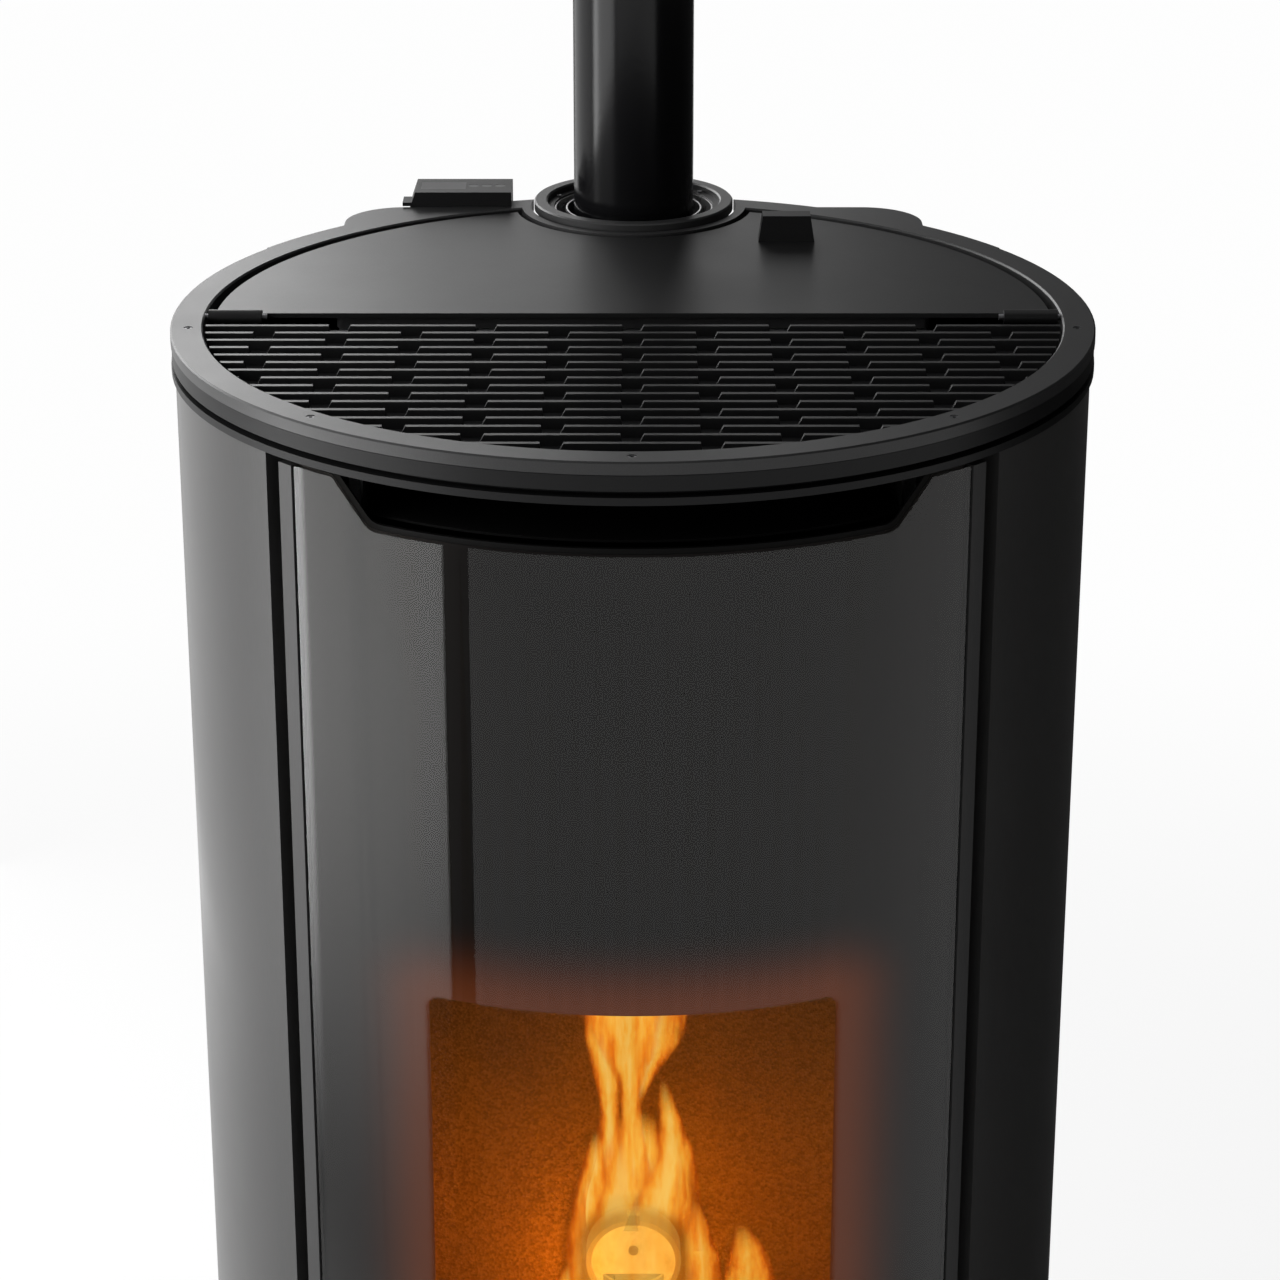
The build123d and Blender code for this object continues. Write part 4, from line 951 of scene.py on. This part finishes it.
class Flicker(Enum):
    """Part of the fire that a flame belongs to, with its heat, density and number of sheets."""

    BODY = (0.86, 0.9, 2)
    CORE = (1.12, 0.72, 1)
    STREAM = (0.84, 0.88, 1)
    STRAY = (0.72, 0.8, 1)

    def __init__(self, heat: float, density: float, sheets: int) -> None:
        """Names the three parts of a member's value.

        Args:
            heat: how bright and pale its gas burns.
            density: its largest opacity.
            sheets: how many sheets cross in its tongues.
        """
        self.heat = heat
        self.density = density
        self.sheets = sheets


@dataclass(frozen=True)
class Tongue:
    """One tongue of flame. Sizes in metres, from the middle of the pot's mouth.

    Stations go from foot to tip, each with height, sideways place and half width in
    millimetres. Spread is the angle between crossing sheets, in radians.
    """

    name: str
    part: Flicker
    back: float
    stations: tuple[Triple, ...]
    steps: int = 40
    columns: tuple[float, ...] = (-1.0, -0.5, 0.0, 0.5, 1.0)
    spread: float = 1.0
    flatness: float = 0.6
    fullness: float = 1.45
    least_half: float = 0.0005
    sway: float = 0.004
    sway_along: float = 9.0
    sway_back: float = 40.0

    def station(self, along: float) -> Triple:
        """Height, sideways place and half width at a share of the tongue, in metres.

        Args:
            along: share of the tongue, from 0 at the foot to 1 at the tip.

        Returns:
            The point of a Catmull-Rom curve through the stations.
        """
        last = len(self.stations) - 1
        index = min(int(along * last), last - 1)
        t = along * last - index
        around = [self.stations[min(max(index + step, 0), last)] for step in (-1, 0, 1, 2)]
        weights = (-0.5 * t + t * t - 0.5 * t ** 3, 1 - 2.5 * t * t + 1.5 * t ** 3,
                   0.5 * t + 2 * t * t - 1.5 * t ** 3, -0.5 * t * t + 0.5 * t ** 3)
        return tuple(sum(w * point[part] for w, point in zip(weights, around)) * MILLIMETRE
                     for part in range(3))

    def shape(self, mouth: Vector) -> bmesh.types.BMesh:
        """Upright sheets that cross at the tongue's middle.

        Args:
            mouth: middle of the pot's mouth.

        Returns:
            A mesh whose points store how far along and across the tongue they lie.
        """
        mesh = bmesh.new()
        along_layer = mesh.verts.layers.float.new("along")
        across_layer = mesh.verts.layers.float.new("across")
        for sheet in range(self.part.sheets):
            angle = self.spread * (sheet - (self.part.sheets - 1) / 2)
            facing = Vector((math.cos(angle), self.flatness * math.sin(angle), 0.0))
            below = None
            for step in range(self.steps + 1):
                along = step / self.steps
                height, sideways, half = self.station(along)
                sway = self.sway * math.sin(self.sway_along * along + self.sway_back * self.back)
                middle = mouth + Vector((sideways, self.back + sway, height))
                half = max(half, self.least_half)
                row = []
                for across in self.columns:
                    vert = mesh.verts.new(middle + facing * (across * self.fullness * half))
                    vert[along_layer] = along
                    vert[across_layer] = across
                    row.append(vert)
                for side in range(len(row) - 1) if below else ():
                    mesh.faces.new((below[side], below[side + 1], row[side + 1], row[side]))
                below = row
        return mesh


TONGUES = (
    Tongue("flame_body", Flicker.BODY, 0.004, (
        (-30, 0, 26), (0, 0, 34), (40, 0, 38), (81, -1, 37), (110, -2, 35), (139, 0, 31),
        (165, 2, 22), (190, 2, 10))),
    Tongue("flame_left_lobe", Flicker.STREAM, -0.004, (
        (-30, -18, 12), (20, -23, 14), (60, -27.5, 12), (90, -29.5, 11), (115, -29, 9.5),
        (139, -26.5, 8), (160, -24.5, 5), (180, -24, 2))),
    Tongue("flame_mid_stream", Flicker.STREAM, -0.002, (
        (70, 4, 18), (110, 2, 14), (155, -1, 9), (190, -2, 6), (215, -1, 8), (235, -2, 14),
        (255, -3, 22), (290, -3, 28), (330, -1, 18), (365, 1, 6))),
    Tongue("flame_left_stream", Flicker.STREAM, 0.008, (
        (100, -14, 12), (140, -15, 9), (180, -15.5, 6), (205, -15.5, 6.5), (230, -17.5, 9),
        (260, -16, 12), (300, -12, 10), (335, -11, 4))),
    Tongue("flame_right_stream", Flicker.STREAM, 0.012, (
        (190, 3, 3), (210, 8, 6), (228, 13, 9), (245, 17, 13), (280, 20, 14), (320, 20, 6))),
    Tongue("flame_right_tongue", Flicker.STREAM, -0.008, (
        (-10, 10, 14), (40, 13, 18), (80, 17, 20), (110, 19, 18.5), (139, 22.5, 15.5),
        (160, 24.5, 12), (180, 23.5, 8.5), (200, 21.2, 5), (218, 19.2, 2))),
    Tongue("flame_core_left", Flicker.CORE, -0.016, (
        (-20, -12, 14), (30, -12, 18), (70, -13, 18), (100, -12, 16), (130, -9, 12), (155, -7, 8),
        (180, -6, 3))),
    Tongue("flame_core_right", Flicker.CORE, -0.014, (
        (-20, 12, 14), (30, 12, 18), (70, 11, 17), (100, 12, 16), (130, 16, 12), (160, 21, 8),
        (190, 22, 3))),
    Tongue("flame_right_skirt", Flicker.STRAY, 0.0, (
        (-20, 28, 10), (30, 33, 13), (70, 36, 12), (100, 37, 10), (130, 38.5, 3))),
    Tongue("flame_stray_middle", Flicker.STRAY, -0.006, (
        (-20, 34, 10), (30, 41, 12), (70, 43.5, 11), (95, 42.5, 9), (130, 39.5, 2))),
    Tongue("flame_stray_right", Flicker.STRAY, -0.012, (
        (-30, 36, 10), (20, 53, 14), (55, 67, 16), (78, 73, 15), (96, 73, 10), (116, 69, 3))),
    Tongue("flame_stray_left", Flicker.STRAY, -0.002, (
        (-30, -30, 10), (20, -40, 12), (50, -43, 10), (82, -41, 2))),
)


@dataclass(frozen=True)
class Pellet:
    """Wood pellet: a short rod with broken, rounded ends. Sizes in metres.

    The profile gives places along the rod, as shares of its length, with shares of its radius.
    """

    radius: float = 0.003
    sides: int = 8
    profile: tuple[Span, ...] = ((-0.5, 0.55), (-0.46, 0.9), (-0.3, 1.0), (0.3, 1.0),
                                 (0.46, 0.9), (0.5, 0.55))

    def add(self, mesh: bmesh.types.BMesh, place: Matrix, length: float) -> None:
        """Adds one pellet to the heap.

        Args:
            mesh: the heap.
            place: where the pellet lies.
            length: its length.
        """
        rings = []
        for share, size in self.profile:
            ring = []
            for side in range(self.sides):
                angle = 2 * math.pi * side / self.sides
                radius = self.radius * size
                point = Vector((radius * math.cos(angle), radius * math.sin(angle), share * length))
                ring.append(mesh.verts.new(place @ point))
            rings.append(ring)
        for lower, upper in zip(rings, rings[1:]):
            for side in range(self.sides):
                after = (side + 1) % self.sides
                mesh.faces.new((lower[side], lower[after], upper[after], upper[side]))
        mesh.faces.new(list(reversed(rings[0])))
        mesh.faces.new(rings[-1])


@dataclass
class Fire:
    """Firebox, its linings, the pot and what burns in it. Sizes in metres, angles in radians.

    The heap's heights are from the pot's mouth. View slope is how far the camera's line of
    sight falls for each metre that it goes back. Glows are lamps with their places from the
    mouth and their watts.
    """

    board_colour: Colour = (0.26, 0.15, 0.026)
    soot_span: Span = (0.12, 0.36)
    pellet: Pellet = Pellet()
    pellet_count: int = 170
    pellet_lengths: Span = (0.009, 0.018)
    heap_half: Span = (0.034, 0.024)
    heap_foot: float = -0.042
    heap_brim: float = -0.016
    heap_crown: float = 0.016
    crown_half: Span = (0.045, 0.036)
    ember_span: Span = (-0.045, -0.012)
    tilt: float = 0.5
    nod: float = 0.4
    seed: int = 7
    view_slope: float = 0.85
    glow_colour: Colour = (1.0, 0.31, 0.03)
    glow_radius: float = 0.03
    glows: tuple[tuple[str, Triple, float], ...] = (
        ("fire_low", (0.008, -0.03, 0.045), 1.55), ("fire_left", (-0.04, 0.03, 0.045), 0.11),
        ("fire_high", (0.0, -0.03, 0.17), 0.08))

    def build(self) -> None:
        """Dresses the firebox and lights the fire."""
        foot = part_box("firebox_linings")[0].z
        start, end = self.soot_span
        board = MineralBoard("mineral_board", self.board_colour, foot + start, foot + end)
        dress(board, "firebox_linings", "baffle_board")
        dress(IRON, "fire_floor", "burn_pot", "firebox_shell", "igniter")
        # The chute casting carries painted firelight, an emission standing in for the fire's light
        # on it.
        dress(PaintedFirelightCasting("hot_casting", *self.chute_mouth()), "chute_head")
        dress(ZINC, "ash_pan")
        self._pellets()
        self._flames()
        self._glow()

    def mouth(self) -> Vector:
        """Middle of the pot's open top."""
        low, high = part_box("burn_pot")
        return Vector(((low.x + high.x) / 2, (low.y + high.y) / 2, high.z))

    def chute_mouth(self) -> tuple[Vector, float]:
        """Middle of the chute's round mouth on its front face, and its radius."""
        low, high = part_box("chute_head")
        radius = (high.x - low.x) / 2
        return Vector(((low.x + high.x) / 2, low.y, high.z - radius)), radius

    def _pellets(self) -> None:
        """Heaps glowing wood pellets in the pot."""
        rng = random.Random(self.seed)
        mouth = self.mouth()
        heap = bmesh.new()
        for _ in range(self.pellet_count):
            length = rng.uniform(*self.pellet_lengths)
            x, y = (rng.uniform(-half, half) for half in self.heap_half)
            crown = self.heap_crown
            for place, half in zip((x, y), self.crown_half):
                crown *= 1 - (place / half) ** 2
            z = rng.uniform(self.heap_foot, self.heap_brim + crown)
            turn = Euler((rng.uniform(-self.tilt, self.tilt),
                          math.pi / 2 + rng.uniform(-self.nod, self.nod), rng.uniform(0, math.pi)))
            spot = Matrix.Translation(mouth + Vector((x, y, z))) @ turn.to_matrix().to_4x4()
            self.pellet.add(heap, spot, length)
        finish = Ember("glowing_pellets", *(mouth.z + height for height in self.ember_span))
        new_piece("burning_pellets", heap, finish, "pot")

    def _flames(self) -> None:
        """Sets the tongues of flame on the pot, thin where they cover the chute's mouth."""
        mouth = self.mouth()
        middle, clear_radius = self.chute_mouth()
        lift = self.view_slope * (middle.y - mouth.y)
        clear = middle + Vector((0.0, 0.0, lift))
        LOG.info("flames clear %.4f m above the chute's mouth", lift)
        for tongue in TONGUES:
            part = tongue.part
            gas = "burning_gas_" + part.name.lower()
            finish = Flame(gas, part.heat, part.density, clear, clear_radius)
            new_piece(tongue.name, tongue.shape(mouth), finish, "pot").visible_shadow = False

    def _glow(self) -> None:
        """Warm light of the fire on the linings."""
        for name, offset, power in self.glows:
            lamp = bpy.data.lights.new(name, "POINT")
            lamp.energy = power
            lamp.color = self.glow_colour
            lamp.shadow_soft_size = self.glow_radius
            holder = new_object(name, lamp)
            holder.location = self.mouth() + Vector(offset)
            holder.visible_camera = False


@dataclass
class Works:
    """What feeds, blows and controls: hopper, screw, fans and electrics."""

    def build(self) -> None:
        """Dresses the works."""
        dress(ZINC, "hopper", "hopper_guard", "auger_tube", "smoke_fan_housing",
              "room_fan_housing", "air_intake_pipe")
        dress(DRIVE_STEEL, "auger_screw", "auger_gearmotor", "smoke_fan_impeller",
              "room_fan_rotor")
        dress(STEEL_BLACK, "control_panel_case")
        dress(BLACK_PLASTIC, "power_inlet", "power_switch", "panel_button_1", "panel_button_2",
              "panel_button_3")
        dress(LENS, "display_lens")
        dress(CIRCUIT, "control_board")


# Studio


@dataclass(frozen=True)
class Softbox:
    """Rectangular lamp that faces a point. Sizes in metres, radiance in plain units.

    Fade is the share of the height, from the bottom, over which the lamp comes up. A curtain
    dims the lamp to a level beyond a slanted edge, given as a span of shares of its width.
    """

    name: str
    place: Triple
    target: Triple
    width: float
    height: float
    radiance: float
    fade: float = 0.0
    curtain: float = 1.0
    curtain_edge: Span = (0.23, 0.26)
    curtain_slant: float = 0.03

    def hang(self) -> None:
        """Makes the lamp."""
        lamp = bpy.data.lights.new(self.name, "AREA")
        lamp.shape = "RECTANGLE"
        lamp.size, lamp.size_y = self.width, self.height
        lamp.energy = self.radiance * math.pi * self.width * self.height
        if self.fade:
            self._fade_in(Graph(lamp))
        holder = new_object(self.name, lamp)
        holder.location = self.place
        facing = Vector(self.target) - Vector(self.place)
        holder.rotation_euler = facing.to_track_quat("-Z", "Y").to_euler()
        holder.visible_camera = False

    def _fade_in(self, graph: Graph) -> None:
        """Dims the lamp's lower part and the part behind the curtain.

        Args:
            graph: the lamp's empty graph.
        """
        own_place = graph.add("NewGeometry", output="Parametric")
        across = graph.add("SeparateXYZ", None, {0: own_place}, "X")
        height = across.sibling("Y")
        edge = across + height * self.curtain_slant
        curtain = graph.span(edge, *self.curtain_edge, 1.0, self.curtain)
        level = graph.mix(graph.span(height, 0.0, self.fade) * curtain, BLACK, WHITE)
        glow = graph.add("Emission", None, {"Color": level, "Strength": 1.0})
        graph.add("OutputLight", None, {"Surface": glow})


@dataclass(frozen=True)
class DarkCard:
    """Upright black card that only mirrors see, from one floor point to another. In metres."""

    name: str
    near: Span
    far: Span
    top: float

    def stand(self) -> None:
        """Makes the card."""
        corners = [(*self.near, 0.0), (*self.far, 0.0), (*self.far, self.top),
                   (*self.near, self.top)]
        card = new_backdrop(self.name, corners, HOLLOW_BLACK.material())
        card.visible_camera = False
        card.visible_diffuse = False
        card.visible_shadow = False


SOFTBOXES = (
    Softbox("key_left", (-1.222, -0.527, 1.1), (-0.032, 0.063, 1.1), width=1.17, height=2.2,
            radiance=8.4, fade=0.28, curtain=0.33),
    Softbox("wall_left", (-1.30, 0.95, 1.1), (0.0, 0.0, 1.1), width=1.9, height=2.2,
            radiance=1.1),
    Softbox("ceiling_left_back", (-1.10, 1.60, 1.85), (-0.1, 0.0, 1.15), width=1.8, height=1.1,
            radiance=4.2),
    Softbox("ceiling_mid_back", (-0.02, 1.66, 1.85), (-0.02, 0.0, 1.15), width=0.45, height=1.1,
            radiance=0.75),
    Softbox("overhead", (0.0, 0.3, 3.4), (0.0, 0.0, 1.0), width=2.2, height=2.2, radiance=0.6),
)

# The right card darkens what the right side mirrors. The other two edge the key light's image.
DARK_CARDS = (
    DarkCard("dark_card_right", (0.40, -0.22), (0.60, 2.2), 1.3),
    DarkCard("dark_card_back_left", (-2.30, -0.20), (-0.60, 2.20), 1.3),
    DarkCard("dark_card_left", (-0.955, -1.06), (-0.885, -1.20), 2.2),
)


@dataclass
class Studio:
    """Plain floor, soft light and the camera. Sizes in metres, angles in degrees.

    The floor is as bright as the background beyond the shadow, which ends between one
    and clear_radii times its radius. The world's spans are of its direction's X and Z.
    """

    floor_half: float = 60.0
    floor_grey: float = 0.9
    shadow_radius: float = 0.9
    clear_radii: float = 3.0
    bright_shares: Span = (0.8, 0.985)
    wall_level: float = 0.95
    wall_top: Span = (0.08, 0.16)
    ceiling_levels: Span = (0.5, 0.03)
    ceiling_turn: Span = (-0.9, 0.15)
    distance: float = 2.2
    above_top: float = 0.653
    pitch: float = 21.49
    focal_px: float = 3756.0
    frame_px: float = 1280.0
    sensor_width_mm: float = 36.0
    clip: Span = (0.05, 200.0)
    sideways: float = 0.0043
    top_z: float = 1.175
    drum_radius: float = 0.28

    def build(self) -> None:
        """Makes floor, world, lamps and camera."""
        self._floor()
        self._world()
        for box in SOFTBOXES:
            box.hang()
        for card in DARK_CARDS:
            card.stand()
        self._camera()

    def _floor(self) -> None:
        """Pale floor that stays bright in the picture and keeps the shadow."""
        half = self.floor_half
        corners = [(-half, -half, 0.0), (half, -half, 0.0), (half, half, 0.0), (-half, half, 0.0)]
        graph = Graph(bpy.data.materials.new("pale_floor"))
        rays = graph.add("LightPath", output="Is Camera Ray")
        mirrored = rays.sibling("Is Glossy Ray")
        seen = rays.largest(mirrored).largest(rays.sibling("Is Transmission Ray"))
        grey = opaque((self.floor_grey, self.floor_grey, self.floor_grey))
        matt = graph.add("BsdfDiffuse", None, {"Color": grey})
        bright = graph.add("Emission", None, {"Color": opaque(WHITE), "Strength": 1.0})
        reach = graph.add("VectorMath", {"operation": "LENGTH"}, {0: graph.place()}, "Value")
        share = graph.span(reach, self.shadow_radius, self.clear_radii * self.shadow_radius,
                           *self.bright_shares)
        graph.finish(graph.add("MixShader", None, {0: seen * share, 1: matt, 2: bright}))
        new_backdrop("floor", corners, graph.owner)

    def _world(self) -> None:
        """Pale wall at the horizon under a ceiling that darkens from left to right."""
        world = bpy.data.worlds.new("studio")
        bpy.context.scene.world = world
        graph = Graph(world)
        heading = graph.add("TexCoord", output="Generated")
        turn = graph.add("SeparateXYZ", None, {0: heading}, "X")
        wall = graph.span(turn.sibling("Z"), *self.wall_top, 1.0, 0.0)
        ceiling = graph.span(turn, *self.ceiling_turn, *self.ceiling_levels)
        level = ceiling + (self.wall_level - ceiling) * wall
        glow = graph.add("Background", None, {"Color": opaque(WHITE), "Strength": level})
        graph.add("OutputWorld", None, {"Surface": glow})

    def _camera(self) -> None:
        """Camera that looks down on the stove's top, as the photograph does."""
        low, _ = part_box("top_ring")
        axis_y = low.y + self.drum_radius
        data = bpy.data.cameras.new("camera")
        data.sensor_width = self.sensor_width_mm
        data.lens = data.sensor_width * self.focal_px / self.frame_px
        data.clip_start, data.clip_end = self.clip
        camera = new_object("camera", data)
        camera.location = (self.sideways, axis_y - self.distance, self.top_z + self.above_top)
        camera.rotation_euler = (math.radians(90 - self.pitch), 0.0, 0.0)
        bpy.context.scene.camera = camera
        bpy.context.scene.view_settings.view_transform = "Standard"


def main() -> None:
    """Builds the sub-assemblies in order, then the studio round them."""
    logging.basicConfig(level=logging.INFO, format="%(message)s")
    for assembly in (Top(), Flue(), Casing(), Door(), Fire(), Works(), Studio()):
        LOG.info("building %s", type(assembly).__name__)
        assembly.build()


if __name__ == "__main__":
    main()
